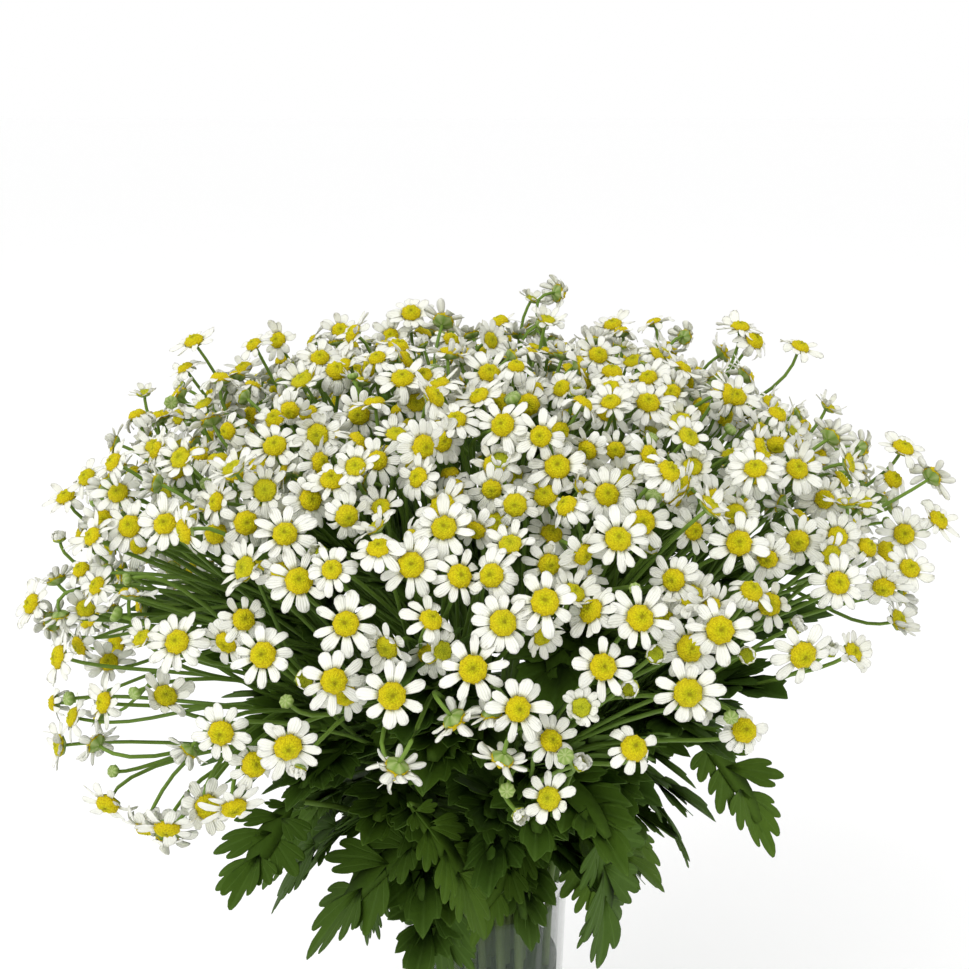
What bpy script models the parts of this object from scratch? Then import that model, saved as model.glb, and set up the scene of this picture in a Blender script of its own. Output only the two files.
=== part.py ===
"""A bouquet of cut chamomile standing in a tapered glass tumbler of water.

Blender 4.5, metres, +Z up. The origin is the middle of the tumbler's foot and the camera side is -Y.
Each flowering or leafy stem is one body: the stem, its pedicels, its heads and its leaves are fused.
"""

import math
import random

import bmesh
import bpy
import numpy as np
from mathutils import Matrix, Vector

MM = 0.001

# Tumbler and water
VASE_HEIGHT = 160 * MM
VASE_BASE_RADIUS = 29 * MM
VASE_MOUTH_RADIUS = 33 * MM
VASE_WALL = 2.6 * MM
VASE_FLOOR = 11 * MM
VASE_SIDES = 24
VASE_LIP_EDGE = 0.8 * MM
VASE_HEEL = 2 * MM
VASE_WELL = 3 * MM
INSIDE_DRAFT = 0.2 * MM
WATER_LEVEL = 126 * MM
WATER_GAP = 0.3 * MM
WATER_CORNER = 4 * MM
HOLE_CLEARANCE = 0.7 * MM
HOLE_SIDES = 5
HOLE_START = 1.0 * MM

# Stems
FLOWERING_STEMS = 24
LEAFY_STEMS = 8
STEM_RADIUS = 1.55 * MM
STEM_TIP_RADIUS = 1.05 * MM
STEM_FOOT_HEIGHT = 17 * MM
NECK_HEIGHT = 167 * MM
NECK_RADIUS = 22.5 * MM
LEAFY_NECK_RADIUS = 27.3 * MM
LEAFY_FIRST_TURN = math.radians(-63)
FOOT_SPREAD = 0.78
FOOT_TWIST = math.radians(24)
NECK_LIFT = 0.3
CURVE_REACH = 0.45
CURVE_STATIONS = 4
HUB_DEPTH = 0.56
LOWEST_HUB = math.radians(104)
SHARING_DEPTH = 60 * MM
GOLDEN_ANGLE = math.pi * (3 - math.sqrt(5))

# The flower dome: a flattened superellipsoid of revolution
DOME_CENTRE = Vector((0, 0, 275 * MM))
DOME_HALF_WIDTH = 158 * MM
DOME_HALF_HEIGHT = 103 * MM
DOME_POWER = 2.3
LOW_EDGE = math.radians(101)
LEFT_SAG = math.radians(13)
BACK_SAG = math.radians(15)
HEADS_ON_DOME = 134
HEAD_SHIFT = 5.0 * MM
HEAD_DEPTH_SHIFT = 0.045
DEEPEST_SHIFT = -1
HIGHEST_SHIFT = 0.4
AREA_STEPS = 400
HEAD_TILT = Vector((0, -0.15, 0.35))
HEAD_LEAN = 0.4
BUD_SHARE = 0.13
LAYOUT_SEED = 21

# Heads, drawn larger than life so that fewer of them cover the dome
HEAD_RADIUS = 16.5 * MM
HEAD_RADIUS_SPREAD = 1.5 * MM
SMALLEST_HEAD = 3 * MM
PLAIN_HEAD_ROOM = 20 * MM
HEAD_GAP = 0.8 * MM
PETALS = 5
PETAL_NOTCH = 0.52
PETAL_HALF_TIP = math.radians(21)
DISC_RADIUS = 0.42
DISC_HEIGHT = 0.2
DISC_RIM_HEIGHT = 0.1
CALYX_DEPTH = 0.2
CALYX_NECK = 0.16
BUD_RADIUS = 4.6 * MM
BUD_SIDES = 5
BUD_TOP = 0.8
BUD_DEPTH = 0.8
BUD_NECK = 0.35
PEDICEL_RADIUS = 0.85 * MM
PEDICEL_SIDES = 3
STRAIGHT_STALK = 0.94
STALK_BEND = 10 * MM
BUD_STALK_BEND = 8 * MM
STALK_BEND_SHARE = 0.4
ROOT_BACKSET = 0.35
ROOT_DEPTH = 1.4 * MM
LOWEST_ROOT = 0.9

# Leaves
LEAF_THICKNESS = 0.8 * MM
LEAF_LOBES = 4
LEAF_WIDTH = 0.36
LEAF_CLEFT = 0.45
FIRST_LOBE = 0.24
LOBED_SHARE = 0.68
LOBE_PEAK = 0.02
CLEFT_PEAK = 0.12
OUTLINE_STRETCH = 0.86
OUTLINE_START = 0.12
OUTLINE_BLUNTNESS = 0.8
RIB_BACKSET = 0.05
LEAF_ARCH = 0.3
LEAF_FOLD = 0.22
LEAF_ROOT = 2 * MM
INNER_LEAF_LENGTH = 44 * MM
INNER_LEAF_RISE = 1.1
INNER_LEAF_SPOT = 0.5
FIRST_LEAVED_STEM = 16

# Leafy stems: how far out and how high each ends, counted from the front one
LEAFY_ENDS = (
    (80 * MM, 236 * MM),
    (80 * MM, 240 * MM),
    (76 * MM, 224 * MM),
    (76 * MM, 212 * MM),
    (76 * MM, 208 * MM),
    (76 * MM, 208 * MM),
    (78 * MM, 216 * MM),
    (80 * MM, 238 * MM),
)
# Their leaves: share of the stem, turn aside, rise, length
LEAVES_BEHIND = ((0.45, -0.9, -0.5, 52 * MM), (0.75, 0.9, -0.5, 56 * MM), (1.0, 0.1, -0.5, 60 * MM))
LEAVES_IN_FRONT = {
    0: ((1.0, 0.4, -3.0, 60 * MM), (0.75, 0.97, -0.46, 46 * MM), (0.5, -1.17, -0.33, 42 * MM)),
    1: ((1.0, -0.59, -0.4, 50 * MM), (0.7, 0.5, -0.9, 52 * MM), (0.45, -0.9, -1.0, 46 * MM)),
    6: ((1.0, 0.76, -0.1, 48 * MM), (0.72, -0.35, -0.7, 50 * MM), (0.45, 0.0, -1.6, 46 * MM)),
    7: ((1.0, 1.4, -0.82, 48 * MM), (0.6, -0.82, -0.39, 62 * MM), (0.4, -0.29, -2.5, 54 * MM)),
}

# The viewpoint that placed the heads named below
EYE = Vector((0, -463.6, 462.3)) * MM
EYE_PITCH = math.radians(-16.4)
EYE_FOCAL_PIXELS = 1316
EYE_FRAME_MIDDLE = 484.5
SIGHT_STEPS = range(250, 700, 2)

# Heads that the view shows plainly: pixel across, pixel down, lean right, lean up
PLAIN_HEADS = {
    "low_middle": (473, 669, 0.0, 0.1),
    "low_middle_left": (392, 696, 0.1, 0.0),
    "low_middle_right": (518, 709, 0.3, -0.1),
    "low_left": (334, 681, 0.1, -0.3),
    "low_right": (603, 667, 0.3, 0.1),
    "right_of_middle": (545, 602, 0.0, 0.3),
    "middle": (503, 623, 0.2, 0.2),
    "middle_high": (444, 528, -0.1, 0.4),
    "middle_left": (411, 565, 0.0, 0.2),
    "middle_far_left": (346, 624, -0.2, 0.2),
    "left_inner": (263, 655, -0.3, 0.1),
    "left_low_row": (221, 733, -0.2, -0.3),
    "left_low_inner": (288, 747, 0.1, -0.5),
    "left_outer": (177, 642, -0.4, 0.3),
    "left_high": (165, 524, -0.3, 0.5),
    "left_high_outer": (118, 493, -0.4, 0.5),
    "left_shoulder": (275, 446, -0.2, 0.7),
    "left_front": (285, 534, -0.1, 0.4),
    "left_front_low": (299, 581, 0.0, 0.3),
    "top_left": (320, 358, -0.1, 0.8),
    "top_middle": (411, 313, 0.0, 0.7),
    "top_inner": (489, 373, 0.1, 0.8),
    "top_right": (598, 355, 0.3, 0.6),
    "top_far_right": (736, 397, 0.3, 0.7),
    "right_shoulder": (797, 469, 0.4, 0.5),
    "right_high": (752, 474, 0.2, 0.6),
    "right_front": (739, 543, 0.1, 0.2),
    "right_front_low": (720, 630, 0.2, 0.0),
    "right_outer": (904, 534, 0.2, 0.1),
    "right_outer_low": (884, 587, -0.2, -0.8),
    "right_outer_inner": (838, 583, 0.3, 0.2),
    "right_low": (803, 655, 0.4, -0.4),
    "right_middle": (648, 403, 0.2, 0.8),
    "front_right_high": (618, 539, 0.2, 0.4),
    "front_right": (640, 618, 0.3, 0.2),
    "front_right_low": (688, 693, 0.2, -0.2),
    "far_left_tip": (32, 604, -1.2, 0.4),
    "far_left_high": (66, 497, -0.7, 1.2),
    "far_left_low": (59, 657, -1.6, 0.2),
    "far_right_tip": (938, 520, 1.0, 0.8),
    "far_right_high": (903, 448, 0.7, 1.2),
    "hanging_left": (108, 804, -0.6, -1.0),
    "hanging_left_inner": (167, 828, -0.2, -1.6),
    "hanging_left_low": (234, 807, 0.3, -1.2),
    "top_edge_right": (740, 327, 0.3, 2.0),
    "top_edge_far_right": (800, 347, 0.8, 1.6),
    "top_edge_left": (194, 341, -0.6, 1.4),
}

# Points closer than these are one: where parts of one mesh meet, and in what a union leaves
SEAM_WELD = 0.01 * MM
SLIVER_WELD = 0.0005 * MM

GREEN = (0.075, 0.15, 0.025)
LEAF_GREEN = (0.03, 0.075, 0.012)
WHITE = (0.83, 0.83, 0.76)
YELLOW = (0.55, 0.42, 0.015)
GLASS = (0.82, 0.9, 0.86)
WATER = (0.55, 0.62, 0.52)


def clear_scene():
    for thing in list(bpy.data.objects):
        bpy.data.objects.remove(thing, do_unlink=True)


def collection_named(name):
    made = bpy.data.collections.new(name)
    bpy.context.scene.collection.children.link(made)
    return made


def material(name, colour, roughness, transmission=0.0):
    made = bpy.data.materials.new(name)
    made.use_nodes = True
    made.diffuse_color = (*colour, 1)
    shader = made.node_tree.nodes["Principled BSDF"]
    shader.inputs["Base Color"].default_value = (*colour, 1)
    shader.inputs["Roughness"].default_value = roughness
    shader.inputs["Metallic"].default_value = 0.0
    shader.inputs["Transmission Weight"].default_value = transmission
    return made


def object_from(name, mesh, collection, materials):
    made = bpy.data.objects.new(name, mesh)
    collection.objects.link(made)
    mesh.materials.clear()
    for finish in materials:
        mesh.materials.append(finish)
    return made


# Where things go


def dome_profile(angle):
    """Distance from the axis and height over the dome's centre, at an angle down from the top."""
    power = 2 / DOME_POWER
    out = DOME_HALF_WIDTH * abs(math.sin(angle)) ** power
    height = DOME_HALF_HEIGHT * abs(math.cos(angle)) ** power
    return out, math.copysign(height, math.cos(angle))


def dome_point(angle, turn, depth=1.0):
    out, height = dome_profile(angle)
    return DOME_CENTRE + Vector((out * math.cos(turn), out * math.sin(turn), height)) * depth


def dome_level(point):
    """Under 1 inside the dome, 1 on it."""
    place = point - DOME_CENTRE
    across = math.hypot(place.x, place.y) / DOME_HALF_WIDTH
    return (across**DOME_POWER + (abs(place.z) / DOME_HALF_HEIGHT) ** DOME_POWER) ** (1 / DOME_POWER)


def lowest_angle(turn):
    """How far down the heads reach: lower on the left and at the back."""
    return LOW_EDGE - LEFT_SAG * math.cos(turn) + BACK_SAG * math.sin(turn)


def even_angles(count, last):
    """Angles down from the top that share the dome's area evenly."""
    steps = np.linspace(0.0, last, AREA_STEPS)
    profile = np.array([dome_profile(step) for step in steps])
    slant = np.hypot(*np.diff(profile, axis=0).T)
    area = np.concatenate([[0.0], np.cumsum(slant * (profile[1:, 0] + profile[:-1, 0]))])
    wanted = (np.arange(count) + 0.5) / count * area[-1]
    return np.interp(wanted, area, steps)


def view_ray(across, down):
    right = Vector((1, 0, 0))
    ahead = Vector((0, math.cos(EYE_PITCH), math.sin(EYE_PITCH)))
    up = right.cross(ahead)
    side = (across - EYE_FRAME_MIDDLE) / EYE_FOCAL_PIXELS
    rise = (EYE_FRAME_MIDDLE - down) / EYE_FOCAL_PIXELS
    return (ahead + right * side + up * rise).normalized(), right, up


def seen_on_dome(across, down):
    """The first point of the dome along a ray, or the ray's nearest point to it."""
    ray = view_ray(across, down)[0]
    reach = [EYE + ray * step * MM for step in SIGHT_STEPS]
    inside = [point for point in reach if dome_level(point) < 1]
    return inside[0] if inside else min(reach, key=dome_level)


def facing_eye(across, down, lean_right, lean_up):
    ray, right, up = view_ray(across, down)
    return (right * lean_right + up * lean_up - ray).normalized()


def dome_heads(draw):
    """Every head's place, facing, radius and kind."""
    heads = []
    for across, down, lean_right, lean_up in PLAIN_HEADS.values():
        facing = facing_eye(across, down, lean_right, lean_up)
        heads.append([seen_on_dome(across, down), facing, HEAD_RADIUS, "bloom"])
    plain = [head[0] for head in heads]
    last = LOW_EDGE + LEFT_SAG
    for index, angle in enumerate(even_angles(HEADS_ON_DOME, last)):
        turn = index * GOLDEN_ANGLE
        depth = 1 + draw.uniform(DEEPEST_SHIFT, HIGHEST_SHIFT) * HEAD_DEPTH_SHIFT
        shift = Vector([draw.uniform(-1, 1) for _ in range(3)])
        place = dome_point(angle, turn, depth) + shift * HEAD_SHIFT
        lean = Vector([draw.uniform(-1, 1) for _ in range(3)])
        outward = (place - DOME_CENTRE).normalized()
        facing = (outward + HEAD_TILT + lean * HEAD_LEAN).normalized()
        radius = HEAD_RADIUS + draw.uniform(-1, 1) * HEAD_RADIUS_SPREAD
        kind = "bud" if draw.random() < BUD_SHARE else "bloom"
        near = min((place - other).length for other in plain)
        if angle < lowest_angle(turn) and near > PLAIN_HEAD_ROOM:
            heads.append([place, facing, BUD_RADIUS if kind == "bud" else radius, kind])
    return heads


def stem_turn(index):
    if index < FLOWERING_STEMS:
        return index * GOLDEN_ANGLE
    return LEAFY_FIRST_TURN + (index - FLOWERING_STEMS) * 2 * math.pi / LEAFY_STEMS


def neck_point(index, spread=1.0, twist=0.0, height=NECK_HEIGHT):
    inside = NECK_RADIUS * math.sqrt((index + 0.5) / FLOWERING_STEMS)
    out = (inside if index < FLOWERING_STEMS else LEAFY_NECK_RADIUS) * spread
    turn = stem_turn(index) + twist
    return Vector((out * math.cos(turn), out * math.sin(turn), height))


def foot_point(index):
    return neck_point(index, FOOT_SPREAD, FOOT_TWIST, STEM_FOOT_HEIGHT)


def curve_between(start, leave, end, count):
    """Points of a quadratic curve that sets out along leave and ends at end."""
    middle = start + leave * (end - start).length * CURVE_REACH
    points = []
    for step in range(1, count + 1):
        share = step / count
        first = start.lerp(middle, share)
        points.append(first.lerp(middle.lerp(end, share), share))
    return points


def stem_route(index, hub):
    foot, neck = foot_point(index), neck_point(index)
    leave = ((neck - foot).normalized() + Vector((0, 0, NECK_LIFT))).normalized()
    return [foot, neck] + curve_between(neck, leave, hub, CURVE_STATIONS)


def hub_points():
    angles = even_angles(FLOWERING_STEMS, LOWEST_HUB)
    return [dome_point(angle, stem_turn(i), HUB_DEPTH) for i, angle in enumerate(angles)]


def share_heads(heads, hubs):
    """Each head goes to the stem whose hub lies nearest its direction from below the dome's centre."""
    middle = DOME_CENTRE - Vector((0, 0, SHARING_DEPTH))
    aims = [(hub - middle).normalized() for hub in hubs]
    shares = [[] for _ in hubs]
    for head in heads:
        way = (head[0] - middle).normalized()
        shares[max(range(len(aims)), key=lambda i: aims[i].dot(way))].append(head)
    return shares


def make_room(heads):
    """Heads never meet: the ball round each stays clear of the balls round the others."""
    for head in heads:
        gaps = [(head[0] - other[0]).length for other in heads if other is not head]
        head[2] = min(head[2], (min(gaps) - HEAD_GAP) / 2)
    return [head for head in heads if head[2] > SMALLEST_HEAD]


# Meshes


def closed_mesh(name, points, faces, slots):
    mesh = bpy.data.meshes.new(name)
    mesh.from_pydata([tuple(point) for point in points], [], faces)
    mesh.polygons.foreach_set("material_index", slots)
    shape = bmesh.new()
    shape.from_mesh(mesh)
    bmesh.ops.recalc_face_normals(shape, faces=shape.faces)
    shape.to_mesh(mesh)
    shape.free()
    return mesh


def facing_matrix(place, facing, spin=0.0):
    turn = facing.to_track_quat("Z", "Y").to_matrix().to_4x4()
    return Matrix.Translation(place) @ turn @ Matrix.Rotation(spin, 4, "Z")


def pedicel_rings(frame, neck_depth, neck_radius, root, reach):
    """Rings of a stalk, from under a head to its root, with one between them where it has to bend."""
    under = frame @ Vector((0, 0, -neck_depth))
    away = frame.to_3x3() @ Vector((0, 0, -1))
    middle = under + away * reach
    across = frame.to_3x3() @ Vector((1, 0, 0))
    stations = [
        (under, away, neck_radius),
        (middle, (away + (root - middle).normalized()).normalized(), PEDICEL_RADIUS),
        (root, (root - middle).normalized(), PEDICEL_RADIUS),
    ]
    if away.dot((root - under).normalized()) > STRAIGHT_STALK:
        del stations[1]
    rings = []
    for place, along, radius in stations:
        side = (across - along * across.dot(along)).normalized()
        other = along.cross(side)
        turns = [2 * math.pi * i / PEDICEL_SIDES for i in range(PEDICEL_SIDES)]
        rings.append([place + (side * math.cos(t) + other * math.sin(t)) * radius for t in turns])
    return rings


def stitch(faces, slots, first, second, count, slot):
    """Triangles between two rings of equal count."""
    for i in range(count):
        j = (i + 1) % count
        faces.append((first + i, second + i, second + j))
        faces.append((first + i, second + j, first + j))
        slots += [slot, slot]


def bloom_mesh(place, facing, radius, root, spin):
    """Blunt petals round a domed disc, over a calyx that narrows into the stalk."""
    frame = facing_matrix(place, facing, spin)
    points, faces, slots = [], [], []
    for petal in range(PETALS):
        middle = 2 * math.pi * (petal + 0.5) / PETALS
        notch = 2 * math.pi * petal / PETALS
        for turn, reach in (
            (notch, PETAL_NOTCH),
            (middle - PETAL_HALF_TIP, 1.0),
            (middle + PETAL_HALF_TIP, 1.0),
        ):
            out = reach * radius
            points.append(frame @ Vector((out * math.cos(turn), out * math.sin(turn), 0)))
    rim = len(points)
    for petal in range(PETALS):
        turn = 2 * math.pi * petal / PETALS
        out = DISC_RADIUS * radius
        height = DISC_RIM_HEIGHT * radius
        points.append(frame @ Vector((out * math.cos(turn), out * math.sin(turn), height)))
    top = len(points)
    points.append(frame @ Vector((0, 0, (DISC_RIM_HEIGHT + DISC_HEIGHT) * radius)))
    for petal in range(PETALS):
        notch, left, right = 3 * petal, 3 * petal + 1, 3 * petal + 2
        next_notch = 3 * ((petal + 1) % PETALS)
        ring, next_ring = rim + petal, rim + (petal + 1) % PETALS
        faces += [(notch, left, ring), (left, right, ring)]
        faces += [(right, next_ring, ring), (right, next_notch, next_ring)]
        faces.append((ring, next_ring, top))
        slots += [1, 1, 1, 1, 2]
    stalk = len(points)
    reach = min(STALK_BEND, (root - place).length * STALK_BEND_SHARE)
    under = outline_to_ring(3 * PETALS, stalk)
    faces += under
    slots += [1] * len(under)
    rings = pedicel_rings(frame, CALYX_DEPTH * radius, CALYX_NECK * radius, root, reach)
    add_stalk(points, faces, slots, rings)
    return points, faces, slots


def add_stalk(points, faces, slots, rings):
    """The stalk's sides and the cap at its root, under the ring that the head already meets."""
    start = len(points)
    for ring in rings:
        points += ring
    for step in range(len(rings) - 1):
        first = start + PEDICEL_SIDES * step
        stitch(faces, slots, first, first + PEDICEL_SIDES, PEDICEL_SIDES, 0)
    last = len(points) - PEDICEL_SIDES
    faces.append((last, last + 2, last + 1))
    slots.append(0)


def outline_to_ring(count, ring):
    """Triangles from a closed outline to the three-sided ring under it."""
    faces = []
    corner = [round(i * PEDICEL_SIDES / count) % PEDICEL_SIDES for i in range(count)]
    for i in range(count):
        j = (i + 1) % count
        here, there = ring + mirrored(corner[i]), ring + mirrored(corner[j])
        faces.append((i, j, here))
        if here != there:
            faces.append((j, there, here))
    return faces


def mirrored(corner):
    """The stalk's rings run the other way round from the outline above them."""
    return (PEDICEL_SIDES - corner) % PEDICEL_SIDES


def bud_mesh(place, facing, radius, root, spin):
    """A closed bud: a pointed top, a waist of BUD_SIDES corners and a taper into the stalk."""
    frame = facing_matrix(place, facing, spin)
    sides = BUD_SIDES
    turns = [2 * math.pi * i / sides for i in range(sides)]
    points = [frame @ Vector((radius * math.cos(t), radius * math.sin(t), 0)) for t in turns]
    points.append(frame @ Vector((0, 0, radius * BUD_TOP)))
    faces = [(i, (i + 1) % sides, sides) for i in range(sides)]
    slots = [0] * sides
    stalk = len(points)
    reach = min(BUD_STALK_BEND, (root - place).length * STALK_BEND_SHARE)
    under = outline_to_ring(sides, stalk)
    faces += under
    slots += [0] * len(under)
    rings = pedicel_rings(frame, BUD_DEPTH * radius, BUD_NECK * radius, root, reach)
    add_stalk(points, faces, slots, rings)
    return points, faces, slots


def leaf_outline(length):
    """Half of a lobed leaf's edge, from its foot to its tip: (along, across) pairs, lobe and cleft in turn."""
    edge = []
    for lobe in range(LEAF_LOBES):
        share = FIRST_LOBE + LOBED_SHARE * lobe / LEAF_LOBES
        swell = math.sin(math.pi * (share * OUTLINE_STRETCH + OUTLINE_START))
        width = LEAF_WIDTH * swell**OUTLINE_BLUNTNESS
        edge.append((share + LOBE_PEAK, width))
        edge.append((share + CLEFT_PEAK, width * LEAF_CLEFT))
    return [(along * length, across * length) for along, across in edge]


def leaf_mesh(foot, along, up, length):
    """A lobed blade, folded a little along its rib and arched down to its tip, with an even thickness."""
    side = along.cross(up).normalized()
    up = side.cross(along).normalized()

    def place(far, across):
        share = far / length
        drop = LEAF_ARCH * length * share * share
        lift = abs(across) * LEAF_FOLD
        return foot + along * far + side * across + up * (lift - drop)

    shape = bmesh.new()
    half = leaf_outline(length)
    rib = [shape.verts.new(place(0, 0))]
    backset = RIB_BACKSET * length
    rib += [shape.verts.new(place(half[2 * i + 1][0] - backset, 0)) for i in range(LEAF_LOBES)]
    tip = shape.verts.new(place(length, 0))
    for hand in (1, -1):
        edge = [shape.verts.new(place(far, across * hand)) for far, across in half]
        for lobe in range(LEAF_LOBES):
            low, high = edge[2 * lobe], edge[2 * lobe + 1]
            shape.faces.new((rib[lobe], low, rib[lobe + 1]))
            shape.faces.new((rib[lobe + 1], low, high))
            after = edge[2 * lobe + 2] if lobe + 1 < LEAF_LOBES else tip
            shape.faces.new((rib[lobe + 1], high, after))
    bmesh.ops.remove_doubles(shape, verts=shape.verts, dist=SEAM_WELD)
    bmesh.ops.recalc_face_normals(shape, faces=shape.faces)
    bmesh.ops.solidify(shape, geom=shape.faces[:], thickness=LEAF_THICKNESS)
    bmesh.ops.triangulate(shape, faces=shape.faces)
    bmesh.ops.recalc_face_normals(shape, faces=shape.faces)
    mesh = bpy.data.meshes.new("leaf")
    shape.to_mesh(mesh)
    shape.free()
    return mesh


def tube_object(name, route, radii, collection, materials):
    """A stem: a poly curve with a bevel and filled caps, made a mesh with its caps welded on."""
    curve = bpy.data.curves.new(name, "CURVE")
    curve.dimensions = "3D"
    curve.bevel_depth = 1.0
    curve.bevel_resolution = 0
    curve.use_fill_caps = True
    spline = curve.splines.new("POLY")
    spline.points.add(len(route) - 1)
    for point, place, radius in zip(spline.points, route, radii):
        point.co = (*place, 1)
        point.radius = radius
    holder = bpy.data.objects.new(name + "_curve", curve)
    collection.objects.link(holder)
    bpy.context.view_layer.update()
    evaluated = holder.evaluated_get(bpy.context.evaluated_depsgraph_get())
    mesh = bpy.data.meshes.new_from_object(evaluated)
    shape = bmesh.new()
    shape.from_mesh(mesh)
    bmesh.ops.remove_doubles(shape, verts=shape.verts, dist=SEAM_WELD)
    bmesh.ops.recalc_face_normals(shape, faces=shape.faces)
    shape.to_mesh(mesh)
    shape.free()
    bpy.data.objects.remove(holder, do_unlink=True)
    return object_from(name, mesh, collection, materials)


def fuse(body, repeats):
    """Joins a collection's bodies to the stem that they grow from, then removes the collection."""
    union = body.modifiers.new("fuse", "BOOLEAN")
    union.operation = "UNION"
    union.operand_type = "COLLECTION"
    union.collection = repeats
    union.solver = "MANIFOLD"
    bpy.context.view_layer.update()
    evaluated = body.evaluated_get(bpy.context.evaluated_depsgraph_get())
    fused = bpy.data.meshes.new_from_object(evaluated)
    body.modifiers.clear()
    body.data = fused
    for thing in list(repeats.objects):
        bpy.data.objects.remove(thing, do_unlink=True)
    bpy.data.collections.remove(repeats)
    keep_largest(fused)


def keep_largest(mesh):
    """Drops any loose scrap that the union left."""
    shape = bmesh.new()
    shape.from_mesh(mesh)
    bmesh.ops.remove_doubles(shape, verts=shape.verts, dist=SLIVER_WELD)
    left = set(shape.faces)
    islands = []
    while left:
        front = [left.pop()]
        island = list(front)
        while front:
            here = front.pop()
            reached = {face for edge in here.edges for face in edge.link_faces} & left
            left -= reached
            front += reached
            island += reached
        islands.append(island)
    largest = max(islands, key=len)
    scraps = [face for island in islands if island is not largest for face in island]
    bmesh.ops.delete(shape, geom=scraps, context="FACES")
    bmesh.ops.triangulate(shape, faces=shape.faces)
    shape.to_mesh(mesh)
    shape.free()


def root_on(route, head):
    """Where a head's stalk leaves the stem: well down it for the heads that lie low."""
    last, before = route[-1], route[-2]
    way = (last - before).normalized()
    along = (head - last).dot(way)
    spare = max(0.0, ROOT_BACKSET * (head - last).length - along)
    return last - way * (min(spare, (last - before).length * LOWEST_ROOT) + ROOT_DEPTH)


def make_flowering_stem(name, index, hub, heads, collection, materials, draw):
    route = stem_route(index, hub)
    radii = [STEM_RADIUS] * 2 + list(np.linspace(STEM_RADIUS, STEM_TIP_RADIUS, CURVE_STATIONS))
    stem = tube_object(name, route, radii, collection, materials)
    repeats = bpy.data.collections.new(name + "_heads")
    bpy.context.scene.collection.children.link(repeats)
    for number, (place, facing, radius, kind) in enumerate(heads):
        root = root_on(route, place)
        shape = bud_mesh if kind == "bud" else bloom_mesh
        points, faces, slots = shape(place, facing, radius, root, draw.uniform(0, 6))
        mesh = closed_mesh(f"{name}_{number}", points, faces, slots)
        object_from(f"{name}_{number}", mesh, repeats, materials)
    if index >= FIRST_LEAVED_STEM:
        foot = route[2].lerp(route[3], INNER_LEAF_SPOT)
        out = Vector((math.cos(stem_turn(index)), math.sin(stem_turn(index)), INNER_LEAF_RISE)).normalized()
        mesh = leaf_mesh(foot - out * LEAF_ROOT, out, Vector((0, 0, 1)), INNER_LEAF_LENGTH)
        leaf = object_from(name + "_leaf", mesh, repeats, materials)
        leaf.data.polygons.foreach_set("material_index", [3] * len(leaf.data.polygons))
    fuse(stem, repeats)
    return stem


def make_leafy_stem(name, number, collection, materials):
    index = FLOWERING_STEMS + number
    turn = stem_turn(index)
    out = Vector((math.cos(turn), math.sin(turn), 0))
    reach, height = LEAFY_ENDS[number]
    route = stem_route(index, out * reach + Vector((0, 0, height)))
    radii = [STEM_RADIUS] * 2 + list(np.linspace(STEM_RADIUS, STEM_TIP_RADIUS, CURVE_STATIONS))
    stem = tube_object(name, route, radii, collection, materials)
    repeats = bpy.data.collections.new(name + "_leaves")
    bpy.context.scene.collection.children.link(repeats)
    for share, aside, rise, length in LEAVES_IN_FRONT.get(number, LEAVES_BEHIND):
        far = share * (len(route) - 2) + 1
        step = min(int(far), len(route) - 2)
        foot = route[step].lerp(route[step + 1], far - step)
        along = (Matrix.Rotation(aside, 3, "Z") @ out + Vector((0, 0, rise))).normalized()
        mesh = leaf_mesh(foot - along * LEAF_ROOT, along, Vector((0, 0, 1)), length)
        object_from(f"{name}_leaf", mesh, repeats, materials)
    fuse(stem, repeats)
    return stem


def make_vase(collection, finish):
    """The tumbler's section, turned about the axis: down the outside, then up the inside."""
    inner_mouth = VASE_MOUTH_RADIUS - VASE_WALL
    inner_base = VASE_BASE_RADIUS - VASE_WALL
    edge = VASE_LIP_EDGE
    section = [
        (0, 0),
        (VASE_BASE_RADIUS - VASE_HEEL, 0),
        (VASE_BASE_RADIUS, VASE_HEEL),
        (VASE_MOUTH_RADIUS, VASE_HEIGHT - edge),
        (VASE_MOUTH_RADIUS - edge, VASE_HEIGHT),
        (inner_mouth + edge, VASE_HEIGHT),
        (inner_mouth, VASE_HEIGHT - edge),
        (inner_base + INSIDE_DRAFT, VASE_FLOOR + VASE_WELL),
        (inner_base - VASE_WELL, VASE_FLOOR),
        (0, VASE_FLOOR),
    ]
    return turned("glass_vase", section, collection, finish)


def turned(name, section, collection, finish):
    mesh = bpy.data.meshes.new(name)
    points = [(out, 0, height) for out, height in reversed(section)]
    mesh.from_pydata(points, [(i, i + 1) for i in range(len(points) - 1)], [])
    made = object_from(name, mesh, collection, [finish])
    screw = made.modifiers.new("turn", "SCREW")
    screw.steps = VASE_SIDES
    screw.render_steps = VASE_SIDES
    screw.use_merge_vertices = True
    screw.merge_threshold = SLIVER_WELD
    screw.use_normal_calculate = True
    return made


def inner_radius(height):
    share = height / VASE_HEIGHT
    return VASE_BASE_RADIUS + (VASE_MOUTH_RADIUS - VASE_BASE_RADIUS) * share - VASE_WALL


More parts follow.
